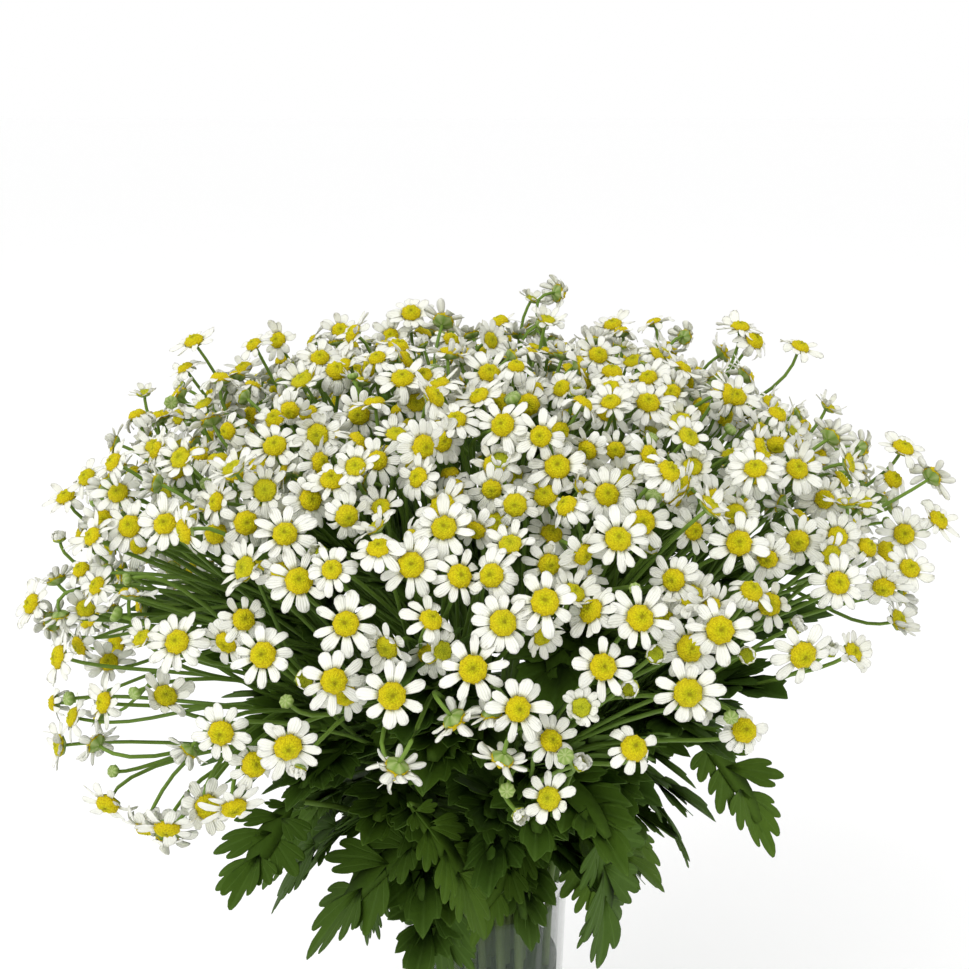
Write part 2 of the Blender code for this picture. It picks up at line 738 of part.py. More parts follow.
def make_water(collection, finish, helpers):
    """Water with a plain hole for each stem that stands in it."""
    low = VASE_FLOOR + WATER_GAP
    section = [
        (0, low),
        (inner_radius(low) - WATER_CORNER - WATER_GAP, low),
        (inner_radius(low + WATER_CORNER) - WATER_GAP - INSIDE_DRAFT, low + WATER_CORNER),
        (inner_radius(WATER_LEVEL) - WATER_GAP, WATER_LEVEL),
        (0, WATER_LEVEL),
    ]
    water = turned("vase_water", section, collection, finish)
    for index in range(FLOWERING_STEMS + LEAFY_STEMS):
        foot, neck = foot_point(index), neck_point(index)
        way = (neck - foot).normalized()
        start = foot - way * HOLE_START
        radius = STEM_RADIUS + HOLE_CLEARANCE
        cutter = tube_cutter(f"hole_{index:02d}", start, neck, radius, helpers)
        cutter.hide_render = True
        cutter.display_type = "WIRE"
    cut = water.modifiers.new("stem_holes", "BOOLEAN")
    cut.operation = "DIFFERENCE"
    cut.operand_type = "COLLECTION"
    cut.collection = helpers
    cut.solver = "EXACT"
    return water


def tube_cutter(name, start, end, radius, collection):
    shape = bmesh.new()
    length = (end - start).length
    way = (end - start).normalized().to_track_quat("Z", "Y").to_matrix().to_4x4()
    place = Matrix.Translation((start + end) / 2) @ way
    bmesh.ops.create_cone(
        shape,
        cap_ends=True,
        segments=HOLE_SIDES,
        radius1=radius,
        radius2=radius,
        depth=length,
        matrix=place,
    )
    mesh = bpy.data.meshes.new(name)
    shape.to_mesh(mesh)
    shape.free()
    return object_from(name, mesh, collection, [])


def main():
    clear_scene()
    plant = collection_named("chamomile_in_tumbler")
    helpers = collection_named("hole_cutters")
    green = material("stem_green", GREEN, roughness=0.55)
    leaf = material("leaf_green", LEAF_GREEN, roughness=0.6)
    white = material("petal_white", WHITE, roughness=0.6)
    yellow = material("disc_yellow", YELLOW, roughness=0.7)
    glass = material("clear_glass", GLASS, roughness=0.05, transmission=1.0)
    water = material("water", WATER, roughness=0.02, transmission=1.0)
    make_vase(plant, glass)
    make_water(plant, water, helpers)
    draw = random.Random(LAYOUT_SEED)
    hubs = hub_points()
    shares = share_heads(make_room(dome_heads(draw)), hubs)
    for index, (hub, heads) in enumerate(zip(hubs, shares)):
        name = f"flowering_stem_{index + 1:02d}"
        make_flowering_stem(name, index, hub, heads, plant, [green, white, yellow, leaf], draw)
    for number in range(LEAFY_STEMS):
        name = f"leafy_stem_{number + 1:02d}"
        make_leafy_stem(name, number, plant, [leaf])


main()
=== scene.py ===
"""The looks of a chamomile bouquet in a glass tumbler: blooms, leaves, stems, glass, water and stage."""

import math
import random

import bpy
import numpy as np
from bpy.props import FloatProperty, FloatVectorProperty, IntProperty, PointerProperty
from mathutils import Matrix, Vector, noise


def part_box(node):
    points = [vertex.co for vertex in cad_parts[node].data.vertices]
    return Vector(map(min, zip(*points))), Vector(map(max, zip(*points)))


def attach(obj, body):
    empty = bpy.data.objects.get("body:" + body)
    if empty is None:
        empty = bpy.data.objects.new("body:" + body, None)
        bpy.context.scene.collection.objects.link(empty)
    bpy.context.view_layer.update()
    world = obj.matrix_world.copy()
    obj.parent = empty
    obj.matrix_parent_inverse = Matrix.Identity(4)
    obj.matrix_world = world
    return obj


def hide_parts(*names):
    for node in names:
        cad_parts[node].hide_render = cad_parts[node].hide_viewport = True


bl_info = {
    "name": "Chamomile Bouquet",
    "version": (1, 0, 0),
    "blender": (4, 5, 0),
    "location": "View3D > Sidebar > Bouquet",
    "description": "Dresses a bouquet of chamomile in a glass tumbler of water",
    "category": "Object",
}

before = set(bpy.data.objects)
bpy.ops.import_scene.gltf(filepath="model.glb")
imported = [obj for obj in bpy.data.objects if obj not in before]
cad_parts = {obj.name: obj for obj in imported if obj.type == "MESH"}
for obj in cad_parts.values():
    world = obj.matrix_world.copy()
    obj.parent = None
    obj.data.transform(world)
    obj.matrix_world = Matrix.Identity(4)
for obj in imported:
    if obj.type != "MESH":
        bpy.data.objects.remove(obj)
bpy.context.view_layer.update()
MM = 0.001

FLOWERING_NODES = sorted(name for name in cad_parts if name.startswith("flowering_stem_"))
LEAFY_NODES = sorted(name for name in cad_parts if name.startswith("leafy_stem_"))
VASE_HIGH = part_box("glass_vase")[1]

# The bouquet's plan, the same as the solids'
FLOWERING_STEMS = len(FLOWERING_NODES)
LEAFY_STEMS = len(LEAFY_NODES)
VASE_HEIGHT = VASE_HIGH.z
VASE_MOUTH_RADIUS = VASE_HIGH.x
VASE_BASE_RADIUS = 29 * MM
VASE_WALL = 2.6 * MM
VASE_FLOOR = 11 * MM
WATER_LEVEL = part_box("vase_water")[1].z
STEM_FOOT_HEIGHT = 17 * MM
NECK_HEIGHT = 167 * MM
NECK_RADIUS = 22.5 * MM
LEAFY_NECK_RADIUS = 27.3 * MM
LEAFY_FIRST_TURN = math.radians(-63)
FOOT_SPREAD = 0.78
FOOT_TWIST = math.radians(24)
STEM_STATIONS = 6
STEM_RISE = 0.3
STEM_BEND = 0.45
HUB_DEPTH = 0.56
HUB_EDGE = math.radians(104)
SHARE_DROP = 60 * MM
GOLDEN_ANGLE = math.pi * (3 - math.sqrt(5))
DOME_CENTRE = Vector((0, 0, 275 * MM))
DOME_HALF_WIDTH = 158 * MM
DOME_HALF_HEIGHT = 103 * MM
DOME_POWER = 2.3
AREA_STEPS = 400
LOW_EDGE = math.radians(101)
LEFT_SAG = math.radians(13)
BACK_SAG = math.radians(15)
HEADS_ON_DOME = 134
HEAD_SHIFT = 5.0 * MM
HEAD_DEPTH_SHIFT = 0.045
DEPTH_RANGE = (-1, 0.4)
BUD_SHARE = 0.13
PLAIN_HEAD_ROOM = 20 * MM
PLAN_SEED = 21

# Leafy stems, in mm: how far out and how high each ends, then its leaves: share, turn aside, rise, length
LEAFY_ENDS = ((80, 236), (80, 240), (76, 224), (76, 212), (76, 208), (76, 208), (78, 216), (80, 238))
LEAVES_BEHIND = ((0.45, -0.9, -0.5, 52), (0.75, 0.9, -0.5, 56), (1.0, 0.1, -0.5, 60))
LEAVES_IN_FRONT = {
    0: ((1.0, 0.4, -3.0, 60), (0.75, 0.97, -0.46, 46), (0.5, -1.17, -0.33, 42)),
    1: ((1.0, -0.59, -0.4, 50), (0.7, 0.5, -0.9, 52), (0.45, -0.9, -1.0, 46)),
    6: ((1.0, 0.76, -0.1, 48), (0.72, -0.35, -0.7, 50), (0.45, 0.0, -1.6, 46)),
    7: ((1.0, 1.4, -0.82, 48), (0.6, -0.82, -0.39, 62), (0.4, -0.29, -2.5, 54)),
}

# The viewpoint of the picture, and the distances in mm at which a ray from it is tried
EYE = Vector((0, -463.6, 462.3)) * MM
EYE_PITCH = math.radians(-16.4)
EYE_FOCAL_PIXELS = 1316
EYE_FRAME = 969
EYE_FRAME_MIDDLE = EYE_FRAME / 2
SENSOR_MM = 36
SIGHT_STEPS = range(250, 700, 2)

# The heads that the picture shows plainly: pixel across and down, lean right and up
PLAIN_HEADS = {
    "low": (
        (473, 669, 0.0, 0.1), (392, 696, 0.1, 0.0), (518, 709, 0.3, -0.1), (334, 681, 0.1, -0.3),
        (603, 667, 0.3, 0.1),
    ),
    "middle": (
        (545, 602, 0.0, 0.3), (503, 623, 0.2, 0.2), (444, 528, -0.1, 0.4), (411, 565, 0.0, 0.2),
        (346, 624, -0.2, 0.2),
    ),
    "left": (
        (263, 655, -0.3, 0.1), (221, 733, -0.2, -0.3), (288, 747, 0.1, -0.5), (177, 642, -0.4, 0.3),
        (165, 524, -0.3, 0.5), (118, 493, -0.4, 0.5), (275, 446, -0.2, 0.7), (285, 534, -0.1, 0.4),
        (299, 581, 0.0, 0.3),
    ),
    "top": (
        (320, 358, -0.1, 0.8), (411, 313, 0.0, 0.7), (489, 373, 0.1, 0.8), (598, 355, 0.3, 0.6),
        (736, 397, 0.3, 0.7),
    ),
    "right": (
        (797, 469, 0.4, 0.5), (752, 474, 0.2, 0.6), (739, 543, 0.1, 0.2), (720, 630, 0.2, 0.0),
        (904, 534, 0.2, 0.1), (884, 587, -0.2, -0.8), (838, 583, 0.3, 0.2), (803, 655, 0.4, -0.4),
        (648, 403, 0.2, 0.8),
    ),
    "front_right": ((618, 539, 0.2, 0.4), (640, 618, 0.3, 0.2), (688, 693, 0.2, -0.2)),
    "far_left": ((32, 604, -1.2, 0.4), (66, 497, -0.7, 1.2), (59, 657, -1.6, 0.2)),
    "far_right": ((938, 520, 1.0, 0.8), (903, 448, 0.7, 1.2)),
    "hanging_left": ((108, 804, -0.6, -1.0), (167, 828, -0.2, -1.6), (234, 807, 0.3, -1.2)),
    "top_edge": ((740, 327, 0.3, 2.0), (800, 347, 0.8, 1.6), (194, 341, -0.6, 1.4)),
}

# The other heads that can be told apart in it, pixel across and down, by how they face
HEADS_TOWARDS_VIEW = {
    "left": ((261, 488), (302, 494), (194, 527), (212, 500), (231, 566), (268, 570), (229, 620), (205, 645)),
    "left_low": ((202, 810), (246, 770), (150, 700)),
    "top": ((411, 387), (462, 392), (390, 334), (531, 392), (575, 394), (563, 424), (590, 446), (626, 438)),
    "top_left": ((316, 459), (373, 499), (440, 433), (350, 400), (290, 410), (340, 330), (270, 330)),
    "top_right": ((716, 392), (682, 419), (783, 441), (826, 454), (670, 370), (640, 350)),
    "middle": (
        (459, 575), (407, 534), (475, 524), (495, 458),
        (516, 502), (568, 505), (588, 551), (554, 561),
    ),
    "middle_low": ((581, 591), (599, 611), (548, 637), (492, 575), (596, 689), (380, 650), (430, 620)),
    "right": ((612, 490), (646, 520), (728, 491), (711, 524), (739, 513), (776, 557), (815, 537), (850, 534)),
    "right_low": (
        (840, 494), (842, 553), (685, 578), (707, 594),
        (754, 591), (724, 606), (658, 622), (785, 604),
    ),
    "low": ((549, 799), (700, 650), (630, 640)),
}
HEADS_FACING_UP = {
    "left": ((230, 355), (245, 381), (267, 384), (261, 364), (208, 418), (182, 446), (152, 445), (201, 451)),
    "left_edge": (
        (145, 413), (185, 368), (179, 335), (65, 536),
        (116, 593), (129, 639), (57, 608), (52, 579),
    ),
    "left_low": ((54, 747), (92, 744)),
    "right": ((764, 331), (658, 316), (903, 476), (936, 475), (844, 431), (831, 405), (759, 737), (555, 748)),
}
HEADS_TURNED_AWAY = {
    "top": ((559, 291), (692, 328), (878, 442)),
    "left": ((54, 509), (37, 622), (78, 712), (167, 761), (132, 836), (150, 845), (183, 828)),
    "low": ((395, 770), (389, 787), (453, 726), (502, 760), (492, 720), (698, 680)),
}
YOUNG_HEADS = {
    "top": ((535, 280), (162, 373), (132, 385), (309, 372), (743, 420), (665, 488), (955, 515), (905, 504)),
    "left": ((313, 551), (302, 680), (279, 705), (109, 614), (121, 579), (131, 694), (57, 701), (102, 776)),
    "right": ((638, 588), (755, 657), (821, 627), (835, 651), (705, 706), (731, 717), (636, 691), (660, 656)),
    "low": ((294, 772), (583, 709), (440, 653), (520, 821), (508, 797), (583, 770), (566, 757)),
}

OPEN_KINDS = ("open", "cupped", "reflexed", "open", "cupped", "open", "reflexed", "open")
YOUNG_KINDS = ("bud", "young", "half")

# Each group's kinds of head, and how they face: shares of outward, up and towards the view
SEEN_GROUPS = (
    (HEADS_TOWARDS_VIEW, OPEN_KINDS, (0.3, 0.0, 1.0)),
    (HEADS_FACING_UP, OPEN_KINDS, (0.4, 1.0, 0.0)),
    (HEADS_TURNED_AWAY, OPEN_KINDS, (0.8, -0.5, -0.8)),
    (YOUNG_HEADS, YOUNG_KINDS, (1.0, 0.2, 0.0)),
)
SEEN_SEED = 3
SEEN_DEPTH = 0.06
SEEN_LEAN = 0.8
SEEN_ROOM = 7.5 * MM
PLANNED_LEAN = 0.4
HEAD_TILT = Vector((0, -0.15, 0.35))

# The heads between those of the plan: two layers of them, with gaps where noise falls under a limit
FILLER_SEED = 5
FILLER_TURN = 1.0
FILLER_SHIFT = 6 * MM
FILLER_LEAN = 1.1
FILLER_EDGE = math.radians(15)
OUTER_LAYER = (0.95, 1.02)
LOWER_LAYER = (0.84, 0.98)
INNER_LAYER = 0.93
CROWDED = 0.76
GAP_NOISE = 26
GAP_LIMIT = -0.4
SPARSE_FROM = math.radians(50)
SPARSE_GAIN = 0.3
THIN_FROM = 500
THINNING = 110
THIN_GAIN = 0.75


# Settings that a user would change


def length_setting(name, description, default):
    kind = {"unit": "LENGTH", "subtype": "DISTANCE"}
    return FloatProperty(name=name, description=description, default=default, **kind)


def count_setting(name, description, default, least=0):
    return IntProperty(name=name, description=description, default=default, min=least)


def colour_setting(name, description, default):
    return FloatVectorProperty(name=name, description=description, default=default, size=3, subtype="COLOR")


class BouquetSizes(bpy.types.PropertyGroup):
    head_radius: length_setting("Head radius", "From an open head's middle to its petals' tips", 9.6 * MM)
    disc_share: FloatProperty(
        name="Disc share",
        description="The yellow disc's radius as a share of the head's",
        default=0.38,
        subtype="FACTOR",
    )
    petals: count_setting("Petals", "The usual number of petals round a head", 12, least=5)
    petal_thickness: length_setting("Petal thickness", "Thickness of a petal at its middle", 0.3 * MM)
    filler_heads: count_setting("Filler heads", "Places tried for the heads between those of the plan", 2400)
    filler_room: length_setting("Filler room", "Least distance between the middles of two heads", 11.2 * MM)
    stalk_radius: length_setting("Stalk radius", "Radius of the thin stalk under a head", 0.62 * MM)
    stem_radius: length_setting("Stem radius", "Radius of a main stem in the water", 1.55 * MM)
    inner_leaves: count_setting("Inner leaves", "Leaves on each flowering stem", 5)


class BouquetColours(bpy.types.PropertyGroup):
    petal: colour_setting("Petal", "Colour of the petals", (0.86, 0.86, 0.78))
    disc: colour_setting("Disc", "Colour of the ripe disc", (0.82, 0.75, 0.008))
    disc_middle: colour_setting("Disc middle", "Colour of a disc's unripe florets", (0.22, 0.25, 0.008))
    stem: colour_setting("Stem", "Colour of the stems", (0.055, 0.11, 0.014))
    young_stem: colour_setting("Young stem", "Colour of the stalks near the heads", (0.21, 0.34, 0.045))
    leaf: colour_setting("Leaf", "Colour of the leaves", (0.042, 0.088, 0.009))
    young_leaf: colour_setting("Young leaf", "Colour of the brighter leaves", (0.115, 0.205, 0.016))
    floor: colour_setting("Floor", "Colour of the floor", (1.0, 1.0, 1.0))


# Where things go


def round_axis(out, turn, height):
    return Vector((out * math.cos(turn), out * math.sin(turn), height))


def dome_profile(angle):
    """Distance from the axis and height over the dome's centre, at an angle down from the top."""
    power = 2 / DOME_POWER
    out = DOME_HALF_WIDTH * abs(math.sin(angle)) ** power
    height = DOME_HALF_HEIGHT * abs(math.cos(angle)) ** power
    return out, math.copysign(height, math.cos(angle))


def dome_point(angle, turn, depth):
    out, height = dome_profile(angle)
    return DOME_CENTRE + round_axis(out, turn, height) * depth


def dome_level(point):
    """Under 1 inside the dome, 1 on it."""
    place = point - DOME_CENTRE
    across = math.hypot(place.x, place.y) / DOME_HALF_WIDTH
    return (across**DOME_POWER + (abs(place.z) / DOME_HALF_HEIGHT) ** DOME_POWER) ** (1 / DOME_POWER)


def outward_at(place):
    return (place - DOME_CENTRE).normalized()


def lowest_angle(turn):
    return LOW_EDGE - LEFT_SAG * math.cos(turn) + BACK_SAG * math.sin(turn)


def even_angles(count, last):
    """Angles down from the top that share the dome's area evenly."""
    steps = np.linspace(0.0, last, AREA_STEPS)
    profile = np.array([dome_profile(step) for step in steps])
    slant = np.hypot(*np.diff(profile, axis=0).T)
    area = np.concatenate([[0.0], np.cumsum(slant * (profile[1:, 0] + profile[:-1, 0]))])
    wanted = (np.arange(count) + 0.5) / count * area[-1]
    return np.interp(wanted, area, steps)


def view_ray(across, down):
    """The direction in which a pixel is seen, and the view's right and up."""
    right = Vector((1, 0, 0))
    ahead = Vector((0, math.cos(EYE_PITCH), math.sin(EYE_PITCH)))
    up = right.cross(ahead)
    side = (across - EYE_FRAME_MIDDLE) / EYE_FOCAL_PIXELS
    rise = (EYE_FRAME_MIDDLE - down) / EYE_FOCAL_PIXELS
    return (ahead + right * side + up * rise).normalized(), right, up


def seen_on_dome(across, down):
    """The first point of the dome along a ray, or the ray's nearest point to it."""
    ray = view_ray(across, down)[0]
    reach = [EYE + ray * step * MM for step in SIGHT_STEPS]
    inside = [point for point in reach if dome_level(point) < 1]
    return inside[0] if inside else min(reach, key=dome_level)


def picture_row(place):
    """How far down the picture a place is seen."""
    ahead, _, up = view_ray(EYE_FRAME_MIDDLE, EYE_FRAME_MIDDLE)
    way = place - EYE
    return EYE_FRAME_MIDDLE - EYE_FOCAL_PIXELS * way.dot(up) / way.dot(ahead)


def any_way(draw):
    return Vector([draw.uniform(-1, 1) for _ in range(3)])


def every(groups):
    return [entry for group in groups.values() for entry in group]


def seen_heads(draw):
    """The heads read off the picture, one by one."""
    heads = []
    for groups, kinds, (outwards, upwards, to_view) in SEEN_GROUPS:
        for across, down in every(groups):
            place = seen_on_dome(across, down)
            place = place.lerp(DOME_CENTRE, draw.uniform(0, SEEN_DEPTH))
            aim = outward_at(place) * outwards + Vector((0, 0, upwards))
            aim += (EYE - place).normalized() * to_view
            facing = (aim + any_way(draw) * SEEN_LEAN).normalized()
            heads.append((place, facing, draw.choice(kinds)))
    return heads


def planned_heads(draw):
    """The solids' heads: (place, facing, kind)."""
    heads = []
    for across, down, lean_right, lean_up in every(PLAIN_HEADS):
        ray, right, up = view_ray(across, down)
        facing = (right * lean_right + up * lean_up - ray).normalized()
        heads.append((seen_on_dome(across, down), facing, "plain"))
    plain = [head[0] for head in heads]
    for index, angle in enumerate(even_angles(HEADS_ON_DOME, LOW_EDGE + LEFT_SAG)):
        turn = index * GOLDEN_ANGLE
        depth = 1 + draw.uniform(*DEPTH_RANGE) * HEAD_DEPTH_SHIFT
        place = dome_point(angle, turn, depth) + any_way(draw) * HEAD_SHIFT
        facing = (outward_at(place) + HEAD_TILT + any_way(draw) * PLANNED_LEAN).normalized()
        # The solids draw each head's size here, so one number is drawn to keep the places the same
        draw.uniform(-1, 1)
        kinds = YOUNG_KINDS if draw.random() < BUD_SHARE else OPEN_KINDS
        near = min((place - other).length for other in plain)
        if angle < lowest_angle(turn) and near > PLAIN_HEAD_ROOM:
            heads.append((place, facing, kinds[index % len(kinds)]))
    return heads


def apart_from(heads, others):
    """The others that leave room for the heads."""
    return [other for other in others if min((other[0] - head[0]).length for head in heads) > SEEN_ROOM]


def gap_limit(place, angle):
    """The noise under which a place stays empty: in front by its row in the picture, behind by its angle."""
    if place.y < 0:
        return GAP_LIMIT + THIN_GAIN * min(1.0, max(0.0, (picture_row(place) - THIN_FROM) / THINNING))
    return GAP_LIMIT + SPARSE_GAIN * max(0.0, angle - SPARSE_FROM)


def filler_heads(planned, sizes, draw):
    """Heads between the planned ones, in front of and behind each other, each with room of its own."""
    placed = np.array([head[0] for head in planned])
    heads = []
    kinds = OPEN_KINDS * 2 + YOUNG_KINDS
    for index, angle in enumerate(even_angles(sizes.filler_heads, LOW_EDGE + LEFT_SAG)):
        turn = index * GOLDEN_ANGLE + FILLER_TURN
        depth = draw.choice((draw.uniform(*OUTER_LAYER), draw.uniform(*LOWER_LAYER)))
        place = dome_point(angle, turn, depth) + any_way(draw) * FILLER_SHIFT
        lean = any_way(draw)
        kind = draw.choice(kinds)
        front = place.y < 0
        gap = (depth > INNER_LAYER or front) and noise.noise(place * GAP_NOISE) < gap_limit(place, angle)
        if gap or angle > lowest_angle(turn) - FILLER_EDGE:
            continue
        room = sizes.filler_room * (CROWDED if angle < SPARSE_FROM and front else 1.0)
        if np.linalg.norm(placed - np.array(place), axis=1).min() < room:
            continue
        heads.append((place, (outward_at(place) + HEAD_TILT + lean * FILLER_LEAN).normalized(), kind))
        placed = np.vstack([placed, np.array(place)])
    return heads


def stem_turn(index):
    if index < FLOWERING_STEMS:
        return index * GOLDEN_ANGLE
    return LEAFY_FIRST_TURN + (index - FLOWERING_STEMS) * 2 * math.pi / LEAFY_STEMS


def neck_point(index, spread=1.0, twist=0.0, height=NECK_HEIGHT):
    inside = NECK_RADIUS * math.sqrt((index + 0.5) / FLOWERING_STEMS)
    out = (inside if index < FLOWERING_STEMS else LEAFY_NECK_RADIUS) * spread
    return round_axis(out, stem_turn(index) + twist, height)


def stem_route(index, hub):
    """Points of a main stem: its foot, halfway up, the neck and then a curve to its hub."""
    foot = neck_point(index, FOOT_SPREAD, FOOT_TWIST, STEM_FOOT_HEIGHT)
    neck = neck_point(index)
    leave = ((neck - foot).normalized() + Vector((0, 0, STEM_RISE))).normalized()
    middle = neck + leave * (hub - neck).length * STEM_BEND
    route = [foot, foot.lerp(neck, 0.5), neck]
    for step in range(1, STEM_STATIONS + 1):
        share = step / STEM_STATIONS
        first = neck.lerp(middle, share)
        route.append(first.lerp(middle.lerp(hub, share), share))
    return route


def along_route(route, share, start):
    """A point and the direction of a stem, at a share of its way from a numbered station to its tip."""
    far = start + share * (len(route) - 1 - start)
    step = min(int(far), len(route) - 2)
    return route[step].lerp(route[step + 1], far - step), (route[step + 1] - route[step]).normalized()


def hub_points():
    angles = even_angles(FLOWERING_STEMS, HUB_EDGE)
    return [dome_point(angle, stem_turn(i), HUB_DEPTH) for i, angle in enumerate(angles)]


def share_heads(heads, hubs):
    """Each head goes to the stem whose hub lies nearest its direction from below the dome's centre."""
    middle = DOME_CENTRE - Vector((0, 0, SHARE_DROP))
    aims = [(hub - middle).normalized() for hub in hubs]
    shares = [[] for _ in hubs]
    for head in heads:
        way = (head[0] - middle).normalized()
        shares[max(range(len(aims)), key=lambda i: aims[i].dot(way))].append(head)
    return shares


# Mesh building

TUBE_GUIDE = np.array([0.31, 0.92, 0.24])
CURVE_CROWDING = 1.7


class Growth:
    """Points, faces and point values of one piece, gathered from many small shapes."""

    def __init__(self, *values):
        self.points, self.faces, self.total = [], [], 0
        self.values = {name: [] for name in values}

    def add(self, points, faces, **values):
        """Points (n, 3), arrays of faces, and each value as n numbers or one."""
        self.points.append(np.asarray(points, np.float32))
        self.faces += [np.asarray(part, np.int32) + self.total for part in faces]
        self.total += len(points)
        for name, kept in self.values.items():
            value = np.asarray(values.get(name, 0.0), np.float32).reshape(-1)
            kept.append(np.broadcast_to(value, len(points)) if len(value) == 1 else value)

    def build(self, name, finish, slot, node):
        """Makes the mesh and hides the node that it replaces."""
        points = np.concatenate(self.points)
        mesh = bpy.data.meshes.new(name)
        mesh.vertices.add(len(points))
        mesh.vertices.foreach_set("co", points.ravel())
        loops = np.concatenate([faces.ravel() for faces in self.faces])
        sizes = np.concatenate([np.full(len(faces), faces.shape[1]) for faces in self.faces])
        mesh.loops.add(len(loops))
        mesh.loops.foreach_set("vertex_index", loops)
        mesh.polygons.add(len(sizes))
        starts = np.concatenate([[0], np.cumsum(sizes)[:-1]]).astype(np.int32)
        mesh.polygons.foreach_set("loop_start", starts)
        mesh.update(calc_edges=True)
        for value, kept in self.values.items():
            layer = mesh.attributes.new(value, "FLOAT", "POINT")
            layer.data.foreach_set("value", np.concatenate(kept))
        mesh.shade_smooth()
        mesh.materials.append(finish)
        made = bpy.data.objects.new(name, mesh)
        bpy.context.scene.collection.objects.link(made)
        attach(made, "root")
        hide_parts(node)


def sheet_faces(sheet, under=False):
    """Quads of a sheet of point numbers, turned over for an underside."""
    quads = np.stack([sheet[:-1, :-1], sheet[1:, :-1], sheet[1:, 1:], sheet[:-1, 1:]], axis=-1).reshape(-1, 4)
    return quads[:, ::-1] if under else quads


def closed_faces(rings, sides):
    """Quads between rings of points, then triangles from the first and the last to an end point each."""
    after = np.roll(np.arange(sides), -1)
    first = np.arange(rings - 1)[:, None] * sides
    here, there = first + np.arange(sides), first + after
    quads = np.stack([here, there, there + sides, here + sides], axis=-1).reshape(-1, 4)
    last = rings * sides
    foot = np.stack([after, np.arange(sides), np.full(sides, last)], axis=1)
    tip = np.stack([np.arange(sides) + last - sides, after + last - sides, np.full(sides, last + 1)], axis=1)
    return [quads, foot, tip]


def rings_round(out, level, ends, phase=0.0):
    """Rings of points about an axis, its two end points, and the faces that close them."""
    rings, sides = out.shape
    turn = 2 * np.pi * (np.arange(sides) + phase) / sides
    points = np.stack([out * np.cos(turn), out * np.sin(turn), np.broadcast_to(level, out.shape)], axis=-1)
    points = np.concatenate([points.reshape(-1, 3), [[0, 0, end] for end in ends]])
    return points, closed_faces(rings, sides)


def axes_of(facing, spin):
    """Rows: two axes across the facing and the facing itself."""
    turn = facing.to_track_quat("Z", "Y").to_matrix() @ Matrix.Rotation(spin, 3, "Z")
    return np.array(turn.transposed())


def tube(growth, route, radii, sides, **values):
    """A round stem along points, closed at both ends."""
    route = np.asarray(route, float)
    along = np.gradient(route, axis=0)
    along /= np.linalg.norm(along, axis=1)[:, None]
    across = np.cross(along, TUBE_GUIDE)
    across /= np.linalg.norm(across, axis=1)[:, None]
    other = np.cross(along, across)
    turn = 2 * np.pi * np.arange(sides) / sides
    ring = across[:, None] * np.cos(turn)[:, None] + other[:, None] * np.sin(turn)[:, None]
    points = route[:, None] + ring * np.asarray(radii)[:, None, None]
    points = np.concatenate([points.reshape(-1, 3), route[:1], route[-1:]])
    values = {name: spread_along(value, sides) for name, value in values.items()}
    growth.add(points, closed_faces(len(route), sides), **values)


def spread_along(value, sides):
    """A value for each station, or one for all, given to every point of a tube."""
    value = np.asarray(value, float).reshape(-1)
    if len(value) == 1:
        return value
    return np.concatenate([np.repeat(value, sides), value[:1], value[-1:]])


def bezier(start, leave, arrive, end, count):
    """Points of a cubic curve from start to end, closer together towards its end."""
    share = 1 - (1 - np.linspace(0, 1, count)[:, None]) ** CURVE_CROWDING
    rest = 1 - share
    points = rest**3 * np.array(start) + 3 * rest**2 * share * np.array(start + leave)
    return points + 3 * rest * share**2 * np.array(end - arrive) + share**3 * np.array(end)


# One head: sizes are shares of the head's radius, or of the disc's, the bud's or the petal's own

PETAL_ALONG = np.array([0.0, 0.3, 0.62, 0.9, 1.0])
PETAL_ACROSS = np.array([-1.0, -0.84, 0.0, 0.84, 1.0])
PETAL_WIDTHS = np.array([0.52, 0.82, 1.0, 0.8, 0.36])
PETAL_TIP = np.array([-0.07, -0.02, 0.0, -0.02, -0.07])
PETAL_TIP_POWER = 6
PETAL_GROOVE = np.array([0.0, 0.02, -0.1, 0.02, 0.0])
PETAL_POINTS = 28
FEWER_PETALS = -3
MORE_PETALS = 2
PETAL_SWAY = 0.24
PETAL_ROOT = 0.86
PETAL_LENGTHS = (0.74, 1.06)
PETAL_HALF_WIDTH = 0.18
PETAL_BREADTHS = (0.72, 1.14)
YOUNG_WIDTH = 0.6
PETAL_TWIST = 0.4
PETAL_CUP = (-0.22, 0.16)
PETAL_DROOP = (-0.35, 0.35)
DROOP_REACH = 0.6
PETAL_SINK = 0.02
PETAL_OVERLAP = 0.035

# For each kind of head: petal length, start pitch, bend, their spreads, disc rise, ripeness and size
HEAD_FORMS = {
    "open": (1.0, 4, -18, 16, 24, 0.27, 1.0, 1.0),
    "plain": (1.0, 6, -18, 11, 18, 0.27, 1.0, 1.0),
    "reflexed": (0.95, -18, -52, 16, 26, 0.34, 1.0, 1.0),
    "cupped": (0.9, 32, -12, 16, 22, 0.18, 0.75, 1.0),
    "half": (0.6, 42, -8, 16, 16, 0.12, 0.35, 0.82),
    "young": (0.42, 70, 42, 8, 10, 0.10, 0.15, 0.72),
}


def petal_faces():
    """Quads of a petal's top, then quads and triangles of an underside with a rib down its middle."""
    top = np.arange(25).reshape(5, 5)
    rib = np.array([2, 25, 26, 27, 22])
    below = [(top[row, 0], rib[row], rib[row + 1], top[row + 1, 0]) for row in (1, 2)]
    below += [(rib[row], top[row, 4], top[row + 1, 4], rib[row + 1]) for row in (1, 2)]
    below += [(0, 1, 25, 5), (3, 4, 9, 25), (27, 21, 20, 15), (19, 24, 23, 27)]
    ends = [(1, 2, 25), (2, 3, 25), (27, 22, 21), (27, 23, 22)]
    return [np.concatenate([sheet_faces(top), np.array(below)]), np.array(ends)]


PETAL_FACES = petal_faces()


